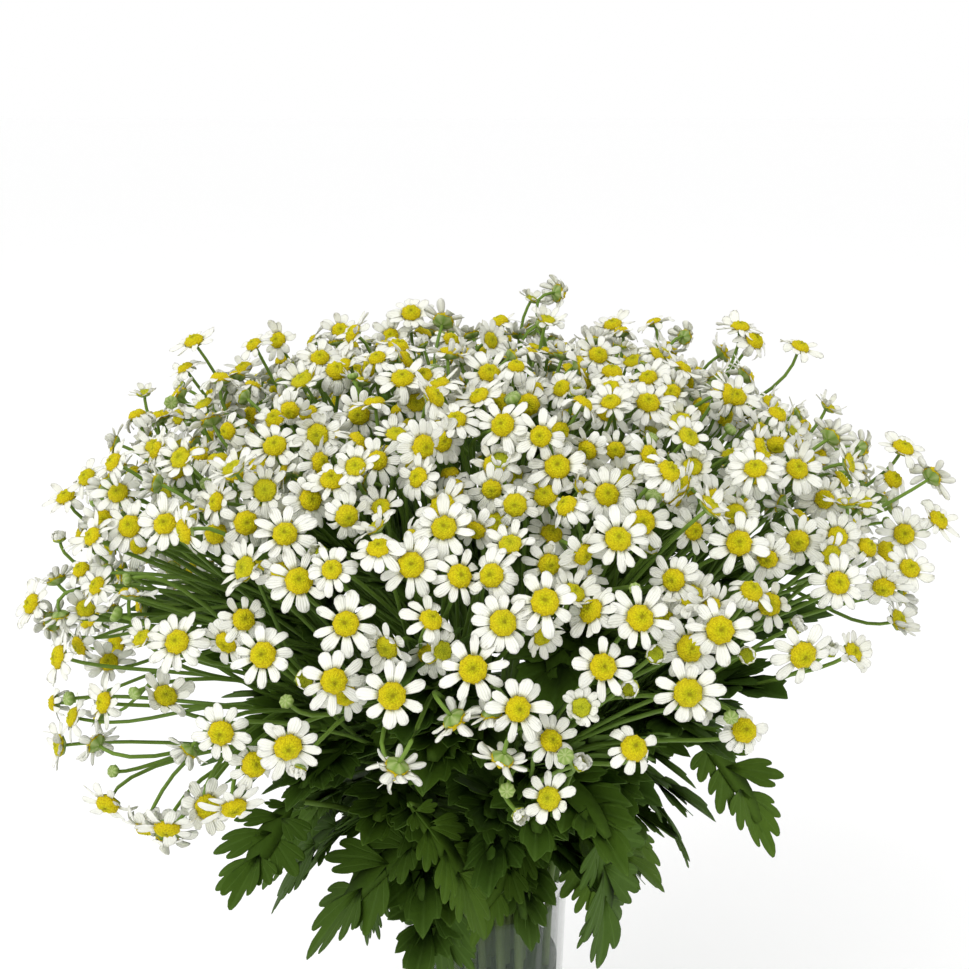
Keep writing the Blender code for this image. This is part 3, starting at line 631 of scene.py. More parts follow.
def add_petals(growth, centre, axes, radius, disc, form, sizes, draw):
    """All of a head's petals, with how far along and across each point lies."""
    length_share, pitch, bend, pitch_spread, bend_spread = form[:5]
    count = sizes.petals + int(draw.integers(FEWER_PETALS, MORE_PETALS))
    turn = 2 * np.pi * (np.arange(count) + draw.uniform(-PETAL_SWAY, PETAL_SWAY, count)) / count
    length = (radius - disc * PETAL_ROOT) * length_share * draw.uniform(*PETAL_LENGTHS, count)
    width = radius * PETAL_HALF_WIDTH * draw.uniform(*PETAL_BREADTHS, count)
    width *= YOUNG_WIDTH + (1 - YOUNG_WIDTH) * length_share
    start = np.radians(pitch + draw.normal(0, pitch_spread, count))
    curl = np.radians(bend + draw.normal(0, bend_spread, count))
    twist = draw.normal(0, PETAL_TWIST, count)
    cup = draw.uniform(*PETAL_CUP, count)
    droop = draw.uniform(*PETAL_DROOP, count)

    slope = start[:, None] + curl[:, None] * PETAL_ALONG
    step = np.diff(PETAL_ALONG)
    middle = (slope[:, 1:] + slope[:, :-1]) / 2
    zero = np.zeros((count, 1))
    out = np.concatenate([zero, np.cumsum(np.cos(middle) * step, axis=1)], axis=1) * length[:, None]
    rise = np.concatenate([zero, np.cumsum(np.sin(middle) * step, axis=1)], axis=1) * length[:, None]
    half = PETAL_WIDTHS * width[:, None]
    across = half[:, :, None] * PETAL_ACROSS
    tip = (PETAL_ALONG[:, None] ** PETAL_TIP_POWER) * PETAL_TIP
    out = out[:, :, None] + tip * length[:, None, None] + disc * PETAL_ROOT
    level = rise[:, :, None] + half[:, :, None] * (cup[:, None, None] * PETAL_ACROSS**2 + PETAL_GROOVE)
    level = level + across * (twist[:, None] * PETAL_ALONG)[:, :, None]
    layer = (np.arange(count) % 2)[:, None, None]
    level = level + (layer * PETAL_OVERLAP - PETAL_SINK) * radius
    across = across + (droop[:, None] * PETAL_ALONG**2)[:, :, None] * width[:, None, None] * DROOP_REACH
    local = np.stack([out + 0 * across, across, level + 0 * across], axis=-1)
    under = local[:, 1:-1, 2].copy()
    under[..., 2] -= sizes.petal_thickness
    local = np.concatenate([local.reshape(count, -1, 3), under.reshape(count, -1, 3)], axis=1)

    cos, sin = np.cos(turn)[:, None], np.sin(turn)[:, None]
    x = local[..., 0] * cos - local[..., 1] * sin
    y = local[..., 0] * sin + local[..., 1] * cos
    points = np.stack([x, y, local[..., 2]], axis=-1) @ axes + np.array(centre)
    along = np.concatenate([np.repeat(PETAL_ALONG, 5), PETAL_ALONG[1:-1]])
    wide = np.concatenate([np.tile(PETAL_ACROSS, 5), np.zeros(3)])
    firsts = PETAL_POINTS * np.arange(count)[:, None, None]
    faces = [(part + firsts).reshape(-1, part.shape[1]) for part in PETAL_FACES]
    shade = np.repeat(draw.uniform(0, 1, count), PETAL_POINTS)
    along, wide = np.tile(along, count), np.tile(wide, count)
    growth.add(points.reshape(-1, 3), faces, along=along, across=wide, shade=shade)


DISC_SIDES = 16
DISC_WIDTHS = np.array([1.0, 0.97, 0.8, 0.56, 0.28])
DISC_LEVELS = np.array([-0.35, 0.16, 0.6, 0.9, 0.97])
DISC_DIMPLE = 1.75
FLORET_SWELL = 0.11
FLORET_UNEVENNESS = 0.02
FLORET_SPREAD = 0.6
RIPE_SPREAD = 0.06


def add_disc(growth, centre, axes, radius, rise, ripe, draw):
    """A domed disc, knobbly with florets in crossing spirals and dimpled in the middle."""
    row = np.arange(len(DISC_WIDTHS))[:, None]
    knob = ((np.arange(DISC_SIDES) + row // 2) % 2).astype(float)
    swell = (knob - 0.5) * FLORET_SWELL + draw.normal(0, FLORET_UNEVENNESS, knob.shape)
    out = radius * DISC_WIDTHS[:, None] * (1 + swell * FLORET_SPREAD)
    level = radius * (DISC_LEVELS[:, None] * rise * 2 + swell)
    ends = (radius * DISC_LEVELS[0], radius * rise * DISC_DIMPLE)
    points, faces = rings_round(out, level, ends, 0.5 * (row % 2))
    outward = np.concatenate([np.repeat(DISC_WIDTHS, DISC_SIDES), [1.0, 0.0]])
    raised = np.append(knob.ravel(), [0.0, 0.0])
    ripe = np.clip(ripe + draw.normal(0, RIPE_SPREAD), 0, 1)
    growth.add(points @ axes + np.array(centre), faces, outward=outward, raised=raised, ripe=ripe)


CALYX_SIDES = 10
CALYX_WIDTHS = np.array([0.2, 0.6, 0.92, 1.0])
CALYX_LEVELS = np.array([-1.1, -0.8, -0.4, -0.02])
CALYX_ENDS = np.array([-1.1, 0.05])
CALYX_RIBS = 0.16
CALYX_PALE = 0.7
CALYX_END_PALE = 0.3
CALYX_YOUTH = 0.9


def add_calyx(growth, centre, axes, disc, depth):
    """The green cup under a head, ribbed by its bracts, from the stalk to the disc's edge."""
    ribs = np.arange(CALYX_SIDES) % 2
    out = disc * CALYX_WIDTHS[:, None] * (1 + CALYX_RIBS * (ribs - 0.5))
    points, faces = rings_round(out, (depth * CALYX_LEVELS)[:, None], depth * CALYX_ENDS)
    pale = np.append(np.tile(ribs * CALYX_PALE, len(CALYX_WIDTHS)), [CALYX_END_PALE, CALYX_END_PALE])
    growth.add(points @ axes + np.array(centre), faces, young=CALYX_YOUTH, pale=pale)


BUD_SIDES = 16
BUD_LEVELS = np.array([-0.7, -0.42, 0.0, 0.4, 0.5, 0.42])
BUD_WIDTHS = np.array([0.28, 0.82, 1.0, 0.9, 0.66, 0.3])
BUD_ENDS = np.array([-0.75, 0.36])
BUD_RIBS = 0.12
BUD_TOP_PALE = 0.9
BUD_PALE_FROM = -0.5
BUD_PALE_SPAN = 1.1
BUD_GROOVE_PALE = 0.1
BUD_RIB_PALE = 0.8


def add_bud(growth, centre, axes, radius):
    """A closed bud: a ribbed green ball with a flat, paler top."""
    ribs = np.arange(BUD_SIDES) % 2
    out = radius * BUD_WIDTHS[:, None] * (1 + BUD_RIBS * (ribs - 0.5))
    points, faces = rings_round(out, (radius * BUD_LEVELS)[:, None], radius * BUD_ENDS)
    pale = np.clip((BUD_LEVELS - BUD_PALE_FROM) / BUD_PALE_SPAN, 0, 1)
    pale = pale[:, None] * (BUD_GROOVE_PALE + BUD_RIB_PALE * ribs)
    pale = np.append(pale.ravel(), [0.0, BUD_TOP_PALE])
    growth.add(points @ axes + np.array(centre), faces, young=1.0, pale=pale)


# One leaf: sizes are shares of its length

# For each pair of lobes, the root's place, the length and the lean
LEAF_PAIRS = ((0.56, 0.34, 0.72), (0.38, 0.42, 0.86), (0.2, 0.36, 1.02), (0.06, 0.18, 1.15))
LOBE_ROWS = np.array([0.4, 0.75, 0.96, 1.0])
FINE_POINTS = 22
COARSE_POINTS = 11

# The lobe at the tip: the root's place, the length and the half-angle
TIP_LOBE = (0.56, 0.46, 0.5)
SIDE_LOBE_ANGLE = 0.47
ROOT_SHIFTS = (-0.02, 0.02)
REACH_SHARES = (0.9, 1.08)
LEAN_SHARES = (0.92, 1.08)
LOBE_TEETH = 3
LOBE_TAPER = 0.36
LOBE_TAPER_POWER = 1.6
FINGER_POWER = 0.55
CLEFTS = (0.2, 0.3)
LOBE_SKEW = 0.06
LOBE_TILT = 0.1
LOBE_LIFT = 0.5 * MM
LEAF_THICKNESS = 0.45 * MM
LEAF_FOLDS = (0.1, 0.35)
LEAF_WAVES = (0.008, 0.022)
WAVES_ACROSS = 9
WAVES_ALONG = 7
BLADE_DROOP = 0.6
LEAF_ARCH = 0.3
RIB_STATIONS = 7
RIB_SIDES = 5
RIB_SPAN = (-0.02, 0.86)
RIB_RADII = (0.009, 0.003)
RIB_DROP = 0.2 * MM
RIB_VEIN = 0.03
WING_STATIONS = 9
WING_END = 0.8
WING_TAPER_END = 0.85
WING_LEAST = 0.01
WING_SWELL = 0.09
WING_POWER = 0.8
WING_LIFT = 0.1 * MM
WING_VEIN = 0.12


def lobe_edge(points, length, half_angle, draw):
    """A lobe's edge in polar form from its root: rounded fingers with clefts between them."""
    share = np.linspace(-1, 1, points)
    body = 1 - LOBE_TAPER * np.abs(share) ** LOBE_TAPER_POWER
    finger = np.abs(np.cos(share * np.pi * LOBE_TEETH / 2)) ** FINGER_POWER
    depth = draw.uniform(*CLEFTS)
    skew = 1 + draw.normal(0, LOBE_SKEW) * share
    return share * half_angle, length * body * (1 - depth + depth * finger) * skew


def leaf_lobes(length, draw):
    """Roots, directions, lengths and half-angles of a leaf's lobes, in its own plane."""
    root, reach, half_angle = TIP_LOBE
    lobes = [(root * length, 0.0, reach * length, half_angle)]
    for root, reach, lean in LEAF_PAIRS:
        for hand in (1, -1):
            root_here = (root + draw.uniform(*ROOT_SHIFTS)) * length
            reach_here = reach * length * draw.uniform(*REACH_SHARES)
            lean_here = hand * lean * draw.uniform(*LEAN_SHARES)
            lobes.append((root_here, lean_here, reach_here, SIDE_LOBE_ANGLE))
    return lobes


def add_leaf(growth, foot, along, up, length, draw, fine=True, arch=LEAF_ARCH, tone=None):
    """A pinnate leaf: toothed lobes of even thickness on a winged rib."""
    along = Vector(along).normalized()
    side = along.cross(Vector(up)).normalized()
    axes = np.array([along, -side, side.cross(along).normalized()])
    fold, wave, phase = draw.uniform(*LEAF_FOLDS), draw.uniform(*LEAF_WAVES), draw.uniform(0, 6)
    tone = draw.uniform(0, 1) if tone is None else tone

    def laid(flat, lift, ripple=wave):
        """Carries flat points to their place: folded along the rib, arched to the tip and waved."""
        out, aside = flat[:, 0], flat[:, 1]
        share = out / length
        level = np.abs(aside) * fold - arch * length * share**2
        waves = np.sin(aside / length * WAVES_ACROSS + phase) * np.cos(share * WAVES_ALONG + phase)
        level += ripple * length * waves - BLADE_DROOP * aside**2 / length
        return np.stack([out, aside, level + lift], axis=1) @ axes + np.array(foot)

    points, shares = (FINE_POINTS, LOBE_ROWS) if fine else (COARSE_POINTS, LOBE_ROWS[2:])
    rows = len(shares)
    hub = rows * points
    for root, lean, reach, half_angle in leaf_lobes(length, draw):
        turn, out = lobe_edge(points, reach, half_angle, draw)
        radial = shares[:, None] * out
        lift = draw.uniform(0, LOBE_LIFT)
        lifts = lift + draw.normal(0, LOBE_TILT) * radial
        flat = np.stack([root + radial * np.cos(turn + lean), radial * np.sin(turn + lean)], axis=-1)
        inner = flat[:-1, 1:-1].reshape(-1, 2)
        top = laid(np.concatenate([flat.reshape(-1, 2), [[root, 0.0]]]), np.append(lifts, lift))
        low = laid(inner, lifts[:-1, 1:-1].ravel() - LEAF_THICKNESS)
        above = np.arange(hub).reshape(rows, points)
        below = above.copy()
        below[:-1, 1:-1] = hub + 1 + np.arange(len(inner)).reshape(rows - 1, points - 2)
        faces = [sheet_faces(above), sheet_faces(below, True)]
        for sheet, step in ((above, 1), (below, -1)):
            fan = np.stack([np.full(points - 1, hub), sheet[0, :-1], sheet[0, 1:]], axis=1)
            faces.append(fan[:, ::step])
        off_axis = np.abs(turn) * np.ones((rows, 1))
        vein = np.concatenate([off_axis.ravel(), [0.0], off_axis[:-1, 1:-1].ravel()])
        flank = np.concatenate([np.zeros(hub + 1), np.ones(len(inner))])
        growth.add(np.concatenate([top, low]), faces, vein=vein, tone=tone, under=flank)
    rib = np.stack([np.linspace(*RIB_SPAN, RIB_STATIONS) * length, np.zeros(RIB_STATIONS)], axis=1)
    radii = np.linspace(*RIB_RADII, RIB_STATIONS) * length
    tube(growth, laid(rib, -RIB_DROP, 0.0), radii, RIB_SIDES, vein=RIB_VEIN, tone=tone)
    add_wing(growth, laid, length, tone)


def add_wing(growth, laid, length, tone):
    """The narrow blade along the rib that joins the lobes."""
    along = np.linspace(0.0, WING_END, WING_STATIONS)
    half = length * (WING_LEAST + WING_SWELL * np.sin(np.pi * along / WING_TAPER_END) ** WING_POWER)
    flat = np.stack([np.repeat(along * length, 3), np.ravel(half[:, None] * np.array([-1, 0, 1]))], axis=1)
    top = laid(flat, WING_LIFT)
    low = laid(flat[4:-3:3], -LEAF_THICKNESS)
    above = np.arange(len(flat)).reshape(-1, 3)
    below = above.copy()
    below[1:-1, 1] = len(flat) + np.arange(len(low))
    faces = [sheet_faces(above), sheet_faces(below, True)]
    growth.add(np.concatenate([top, low]), faces, vein=WING_VEIN, tone=tone)


# Finishes

PETAL_GROOVES = 15.0
FLORET_SCALE = 1900.0
UNRIPE = (0.4, 0.46, 0.02)
STEM_MOTTLE = (0.035, 0.075, 0.01)
STEM_PALEST = (0.5, 0.56, 0.26)
LEAF_VEIN = (0.11, 0.2, 0.035)
LEAF_UNDERSIDE = (0.09, 0.15, 0.035)
GLASS_TINTS = ((0.11, 0.15, 0.11), (0.06, 0.09, 0.06))
WATER_TINTS = ((0.06, 0.105, 0.035), (0.02, 0.045, 0.012))
NOISE_DETAIL = 3.0
VEIN_SHARPNESS = 22.0
SIDE_VEIN_ANGLE = 0.26
SIDE_VEIN_SHARPNESS = 26.0
SIDE_VEIN_STRENGTH = 0.7


class Finish:
    """A material, and short ways to wire nodes to its Principled shader."""

    def __init__(self, name):
        self.material = bpy.data.materials.new(name)
        self.material.use_nodes = True
        self.tree = self.material.node_tree

    def feed(self, made, sockets):
        """Links each named socket, or sets it to a number or a colour."""
        for name, value in sockets.items():
            socket = made.inputs[name]
            if isinstance(value, bpy.types.NodeSocket):
                self.tree.links.new(value, socket)
            else:
                socket.default_value = (*value, 1) if socket.type == "RGBA" else value

    def node(self, kind, sockets, **settings):
        made = self.tree.nodes.new(kind)
        for key, value in settings.items():
            setattr(made, key, value)
        self.feed(made, sockets)
        return made

    def value(self, name):
        """A value that the mesh keeps for each point."""
        return self.node("ShaderNodeAttribute", {}, attribute_name=name).outputs["Fac"]

    def ramp(self, factor, stops):
        made = self.node("ShaderNodeValToRGB", {"Fac": factor})
        elements = made.color_ramp.elements
        while len(elements) < len(stops):
            elements.new(0.5)
        for element, (place, colour) in zip(elements, stops):
            element.position = place
            element.color = (*colour, 1)
        return made.outputs["Color"]

    def mix(self, factor, first, second):
        return self.node("ShaderNodeMix", {0: factor, 6: first, 7: second}, data_type="RGBA").outputs[2]

    def math(self, operation, first, second=0.5):
        return self.node("ShaderNodeMath", {0: first, 1: second}, operation=operation).outputs[0]

    def times(self, first, second):
        return self.math("MULTIPLY", first, second)

    def less(self, first, second):
        return self.math("SUBTRACT", first, second)

    def places(self):
        return self.node("ShaderNodeTexCoord", {}).outputs["Object"]

    def noise(self, scale, detail=NOISE_DETAIL):
        sockets = {"Vector": self.places(), "Scale": scale, "Detail": detail}
        return self.node("ShaderNodeTexNoise", sockets).outputs["Fac"]

    def dress(self, colour, sockets, height=None, strength=0.0, distance=0.0):
        """Gives the shader its colour, its own settings and, with a height, a bump."""
        sockets = {"Base Color": colour, **sockets}
        if height:
            bump = {"Height": height, "Strength": strength, "Distance": distance}
            sockets["Normal"] = self.node("ShaderNodeBump", bump).outputs["Normal"]
        self.feed(self.tree.nodes["Principled BSDF"], sockets)
        return self.material


def scaled(colour, *shares):
    return tuple(value * share for value, share in zip(colour, shares))


def petal_finish(colours):
    """Matt white with fine lengthwise grooves and thin lines of painted shade along the petal, greener at the
    foot.
    """
    made = Finish("petal_white")
    white = tuple(colours.petal)
    foot = scaled(white, 0.8, 0.86, 0.6)
    colour = made.ramp(made.value("along"), ((0.0, foot), (0.3, white), (1.0, white)))
    groove = made.math("COSINE", made.times(made.value("across"), PETAL_GROOVES))
    # Painted shade: the colour is greyed in thin lines along the petal, where the groove pattern peaks.
    line = made.times(made.math("GREATER_THAN", groove, 0.55), 0.35)
    colour = made.mix(line, colour, scaled(white, 0.86, 0.88, 0.85))
    colour = made.mix(made.times(made.value("shade"), 0.45), colour, scaled(white, 0.9, 0.91, 0.85))
    sockets = {
        "Roughness": 0.55,
        "Sheen Weight": 0.1,
        "Subsurface Weight": 0.12,
        "Subsurface Radius": (1.0, 1.0, 0.8),
        "Subsurface Scale": 0.0012,
    }
    return made.dress(colour, sockets, height=groove, strength=0.35, distance=0.0002)


def disc_finish(colours):
    """Granular yellow florets: golden at the rim, greener in the dimple, with painted shade between the
    grains and in the pits between the knobs.
    """
    made = Finish("disc_yellow")
    ripe, middle = tuple(colours.disc), tuple(colours.disc_middle)
    ring, gold = scaled(ripe, 0.82, 0.95, 1.0), scaled(ripe, 0.96, 0.86, 1.0)
    by_place = made.ramp(made.value("outward"), ((0.08, middle), (0.24, ring), (0.6, ripe), (1.0, gold)))
    grain = made.node("ShaderNodeTexVoronoi", {"Vector": made.places(), "Scale": FLORET_SCALE})
    spots = made.times(grain.outputs["Distance"], 1.2)
    # Painted shade: darker towards each grain's edge, in the crevices between the florets.
    colour = made.mix(made.times(spots, 0.62), by_place, scaled(ripe, 0.42, 0.32, 0.25))
    # Painted shade: darker in the pits between the raised knobs.
    pit_shade = made.times(made.less(1.0, made.value("raised")), 0.25)
    colour = made.mix(pit_shade, colour, scaled(ripe, 0.5, 0.4, 0.25))
    colour = made.mix(made.less(1.0, made.value("ripe")), colour, UNRIPE)
    sockets = {"Roughness": 0.7, "Specular IOR Level": 0.12}
    return made.dress(colour, sockets, height=made.less(1.0, spots), strength=0.8, distance=0.0004)


def stem_finish(colours):
    """Fresh green, darker low down and brighter near the heads, with faint mottling."""
    made = Finish("stem_green")
    colour = made.mix(made.value("young"), tuple(colours.stem), tuple(colours.young_stem))
    colour = made.mix(made.times(made.noise(260.0), 0.5), colour, STEM_MOTTLE)
    colour = made.mix(made.times(made.value("pale"), 0.75), colour, STEM_PALEST)
    sockets = {"Roughness": 0.55, "Specular IOR Level": 0.2}
    return made.dress(colour, sockets, height=made.noise(1400.0), strength=0.25, distance=0.0002)


def leaf_finish(colours):
    """Dark green blades with paler veins, a slight sheen and a duller underside."""
    made = Finish("leaf_green")
    dark, bright = tuple(colours.leaf), tuple(colours.young_leaf)
    colour = made.mix(made.value("tone"), dark, bright)
    colour = made.mix(made.times(made.noise(170.0), 0.6), colour, scaled(dark, 0.7, 0.75, 0.7))
    turn = made.value("vein")
    middle_vein = made.less(1.0, made.times(turn, VEIN_SHARPNESS))
    off_side = made.math("ABSOLUTE", made.less(turn, SIDE_VEIN_ANGLE))
    side_vein = made.less(SIDE_VEIN_STRENGTH, made.times(off_side, SIDE_VEIN_SHARPNESS))
    veins = made.math("MAXIMUM", made.math("MAXIMUM", middle_vein, side_vein), 0.0)
    colour = made.mix(made.times(veins, 0.4), colour, LEAF_VEIN)
    colour = made.mix(made.times(made.value("under"), 0.5), colour, LEAF_UNDERSIDE)
    sockets = {"Roughness": 0.65, "Specular IOR Level": 0.1}
    height = made.less(made.noise(420.0), made.times(veins, 0.8))
    return made.dress(colour, sockets, height=height, strength=0.4, distance=0.0005)


def glass_finish():
    """Clear glass, faintly green, with very slight ripples from the mould."""
    made = Finish("clear_glass")
    ripple = made.noise(22.0, 1.0)
    sockets = {"Roughness": 0.015, "IOR": 1.5, "Alpha": 0.24}
    return made.dress(made.mix(ripple, *GLASS_TINTS), sockets, height=ripple, strength=0.1, distance=0.0006)


def water_finish():
    """Slightly cloudy water with a green-grey cast."""
    made = Finish("water")
    tint = made.mix(made.noise(30.0, 2.0), *WATER_TINTS)
    return made.dress(tint, {"Roughness": 0.02, "IOR": 1.333, "Alpha": 0.66})


def floor_finish(colours):
    made = Finish("floor_white")
    pale = tuple(colours.floor)
    tint = made.mix(made.noise(3.0), pale, scaled(pale, 0.995, 0.995, 0.995))
    return made.dress(tint, {"Roughness": 0.6})


# The pieces

VASE_SIDES = 96
HEEL = 2.2 * MM
HOLLOW_SHARE = 0.72
HOLLOW_RISE = 1.0 * MM
HOLLOW_TOP = 1.2 * MM
FOOT_RING_SHARE = 0.82
WELL = 5 * MM
WELL_DIP = 0.4 * MM
WELL_MIDDLE_DIP = 0.6 * MM
WET = 0.05 * MM
WATER_START = 0.02 * MM
WATER_DIP = 0.3 * MM
WATER_MIDDLE_DIP = 0.5 * MM
LIP_STEPS, HEEL_STEPS, WELL_STEPS = 9, 6, 7

# The water's surface by the glass: in from the edge and down from the level
MENISCUS = ((0.3 * MM, 0.5 * MM), (1.5 * MM, 1.2 * MM), (4 * MM, 1.4 * MM))


def turned_growth(section):
    """A closed section, in (out, height) pairs that start and end on the axis, turned about it."""
    section = np.array(section)
    out = np.repeat(section[1:-1, :1], VASE_SIDES, axis=1)
    growth = Growth()
    growth.add(*rings_round(out, section[1:-1, 1:], section[[0, -1], 1]))
    return growth


def arc(centre, radius, start, end, count):
    turns = np.radians(np.linspace(start, end, count))
    return [(centre[0] + radius * math.cos(t), centre[1] + radius * math.sin(t)) for t in turns]


def inner_radius(height):
    share = height / VASE_HEIGHT
    return VASE_BASE_RADIUS + (VASE_MOUTH_RADIUS - VASE_BASE_RADIUS) * share - VASE_WALL


class BOUQUET_OT_vase(bpy.types.Operator):
    """Turns the glass tumbler, with a rounded lip and a thick foot"""

    bl_idname = "bouquet.vase"
    bl_label = "Glass vase"

    def execute(self, context):
        lip = VASE_WALL / 2
        low = inner_radius(VASE_FLOOR) - WELL
        section = [(0, HOLLOW_TOP), (VASE_BASE_RADIUS * HOLLOW_SHARE, HOLLOW_RISE)]
        section += [(VASE_BASE_RADIUS * FOOT_RING_SHARE, 0)]
        section += arc((VASE_BASE_RADIUS - HEEL, HEEL), HEEL, -90, 0, HEEL_STEPS)
        section += arc((VASE_MOUTH_RADIUS - lip, VASE_HEIGHT - lip), lip, 0, 180, LIP_STEPS)
        section += arc((low, VASE_FLOOR + WELL), WELL, 0, -90, WELL_STEPS)
        section += [(low / 2, VASE_FLOOR - WELL_DIP), (0, VASE_FLOOR - WELL_MIDDLE_DIP)]
        turned_growth(section).build("vase_glass", glass_finish(), "clear_glass", "glass_vase")
        return {"FINISHED"}


class BOUQUET_OT_water(bpy.types.Operator):
    """Fills the tumbler with water that climbs a little at the glass"""

    bl_idname = "bouquet.water"
    bl_label = "Water"

    def execute(self, context):
        low = VASE_FLOOR + WATER_START
        start = inner_radius(VASE_FLOOR) - WELL
        edge = inner_radius(WATER_LEVEL) + WET
        section = [(0, low - WATER_MIDDLE_DIP), (start / 2, low - WATER_DIP)]
        section += arc((start, low + WELL), WELL + WET, -90, 0, WELL_STEPS)
        section += [(edge, WATER_LEVEL)] + [(edge - across, WATER_LEVEL - down) for across, down in MENISCUS]
        section += [(0, WATER_LEVEL - MENISCUS[-1][1])]
        turned_growth(section).build("water", water_finish(), "water", "vase_water")
        return {"FINISHED"}


STEM_SIDES = 8
STEM_TAPER = 0.65
STEM_PALE = (0.6, 0.5, 0.15, 0, 0, 0, 0, 0, 0)


def add_stem(growth, route, sizes, young):
    """A main stem, pale in the water and younger towards its tip."""
    radii = np.linspace(sizes.stem_radius, sizes.stem_radius * STEM_TAPER, STEM_STATIONS)
    radii = [sizes.stem_radius] * (len(route) - STEM_STATIONS) + list(radii)
    tube(growth, route, radii, STEM_SIDES, young=np.linspace(0, young, len(route)), pale=STEM_PALE)


HEAD_SIZES = (0.82, 1.04)
PLAIN_HEAD_SIZES = (0.98, 1.06)
BUD_SIZES = (0.2, 0.31)
DISC_SIZES = (0.94, 1.06)
CALYX_DROP = 0.16
CALYX_DEPTH = 0.4


def add_head(petals, discs, greens, head, route, sizes, draw):
    """One head with its calyx and the stalk that carries it."""
    place, facing, kind = head
    axes = axes_of(facing, draw.uniform(0, 2 * math.pi))
    radius = sizes.head_radius * draw.uniform(*HEAD_SIZES)
    if kind == "plain":
        radius = sizes.head_radius * draw.uniform(*PLAIN_HEAD_SIZES)
    if kind == "bud":
        size = radius * draw.uniform(*BUD_SIZES)
        add_bud(greens, place, axes, size)
        under = place + facing * size * BUD_ENDS[0]
    else:
        form = HEAD_FORMS[kind]
        disc = radius * sizes.disc_share * form[7] * draw.uniform(*DISC_SIZES)
        add_petals(petals, place, axes, radius, disc, form, sizes, draw)
        add_disc(discs, place, axes, disc, form[5], form[6], draw)
        depth = disc * CALYX_DEPTH
        add_calyx(greens, place - facing * disc * CALYX_DROP, axes, disc, depth)
        under = place - facing * (disc * CALYX_DROP + depth)
    add_stalk(greens, under, facing, route, sizes, draw)


STALK_STATIONS = 10
STALK_SIDES = 5
STALK_RADII = (1.25, 0.95)
STALK_YOUTH = (0.2, 1.0)
STALK_ROOTS = (0.3, 1.0)
ROOT_POWER = 0.6
TOWARDS_HEAD = 1.1
LEAVING = 0.38
SAG_SPREAD = 0.22
SAG_RISE = 0.03
SAG_RISE_SPREAD = 0.14
SAG_AT_ROOT = 0.5
SAG_AT_HEAD = 0.2
ARRIVING = 0.45
LONGEST_ARRIVAL = 20 * MM


def add_stalk(greens, under, facing, route, sizes, draw):
    """A thin stalk that leaves its stem along it and curves up under the head."""
    root, way = along_route(route, draw.uniform(*STALK_ROOTS) ** ROOT_POWER, 3)
    reach = (under - root).length
    leave = (way + (under - root).normalized() * TOWARDS_HEAD).normalized() * reach * LEAVING
    sag = (draw.normal(0, SAG_SPREAD), draw.normal(0, SAG_SPREAD), draw.normal(SAG_RISE, SAG_RISE_SPREAD))
    sag = Vector(sag) * reach
    arrive = facing * min(reach * ARRIVING, LONGEST_ARRIVAL) + sag * SAG_AT_HEAD
    line = bezier(root, leave + sag * SAG_AT_ROOT, arrive, under, STALK_STATIONS)
    radii = sizes.stalk_radius * np.linspace(*STALK_RADII, STALK_STATIONS)
    tube(greens, line, radii, STALK_SIDES, young=np.linspace(*STALK_YOUTH, STALK_STATIONS))


LOW_HUB = 300 * MM
LOW_LEAVES = 8
LEAF_LENGTHS = (36, 58)
LEAF_PLACE_POWER = 0.7
LEAF_FLATNESS = 0.4
LEAF_SPREAD = 0.45
LEAF_RISES = (0.1, 0.9)
LEAF_ROLL = 0.35
LEAF_ARCHES = (0.05, 0.35)
# Tones of the leaves on the flowering stems: random, but from the darker half only, as painted shade for the
# inside of the bouquet.
INNER_SHADE_TONES = (0.0, 0.5)


def add_stem_leaves(leaves, route, count, draw):
    """Leaves up a flowering stem, facing out from the bouquet's middle."""
    for _ in range(count):
        foot, _ = along_route(route, draw.uniform(0.0, 1.0) ** LEAF_PLACE_POWER, 3)
        out = foot - DOME_CENTRE
        out.z *= LEAF_FLATNESS
        spread = (draw.normal(0, LEAF_SPREAD), draw.normal(0, LEAF_SPREAD), draw.uniform(*LEAF_RISES))
        out = out.normalized() + Vector(spread)
        length = draw.uniform(*LEAF_LENGTHS) * MM
        up = (draw.normal(0, LEAF_ROLL), draw.normal(0, LEAF_ROLL), 1)
        # The tone comes from the darker half only: painted shade for the inside of the bouquet.
        arch, tone = draw.uniform(*LEAF_ARCHES), draw.uniform(*INNER_SHADE_TONES)
        add_leaf(leaves, foot, out, up, length, draw, False, arch, tone)


# The kinds of piece on a flowering stem: name, slot, finish and the values that its points keep
KINDS = (
    ("petals_", "petal_white", petal_finish, ("along", "across", "shade")),
    ("discs_", "disc_yellow", disc_finish, ("outward", "raised", "ripe")),
    ("stalks_", "stem_green", stem_finish, ("young", "pale")),
    ("stem_leaves_", "leaf_green", leaf_finish, ("vein", "tone", "under")),
)
FLOWERING_SEED = 100
LEAFY_SEED = 200
STEM_TIP_YOUTH = 0.5
LEAFY_TIP_YOUTH = 0.6


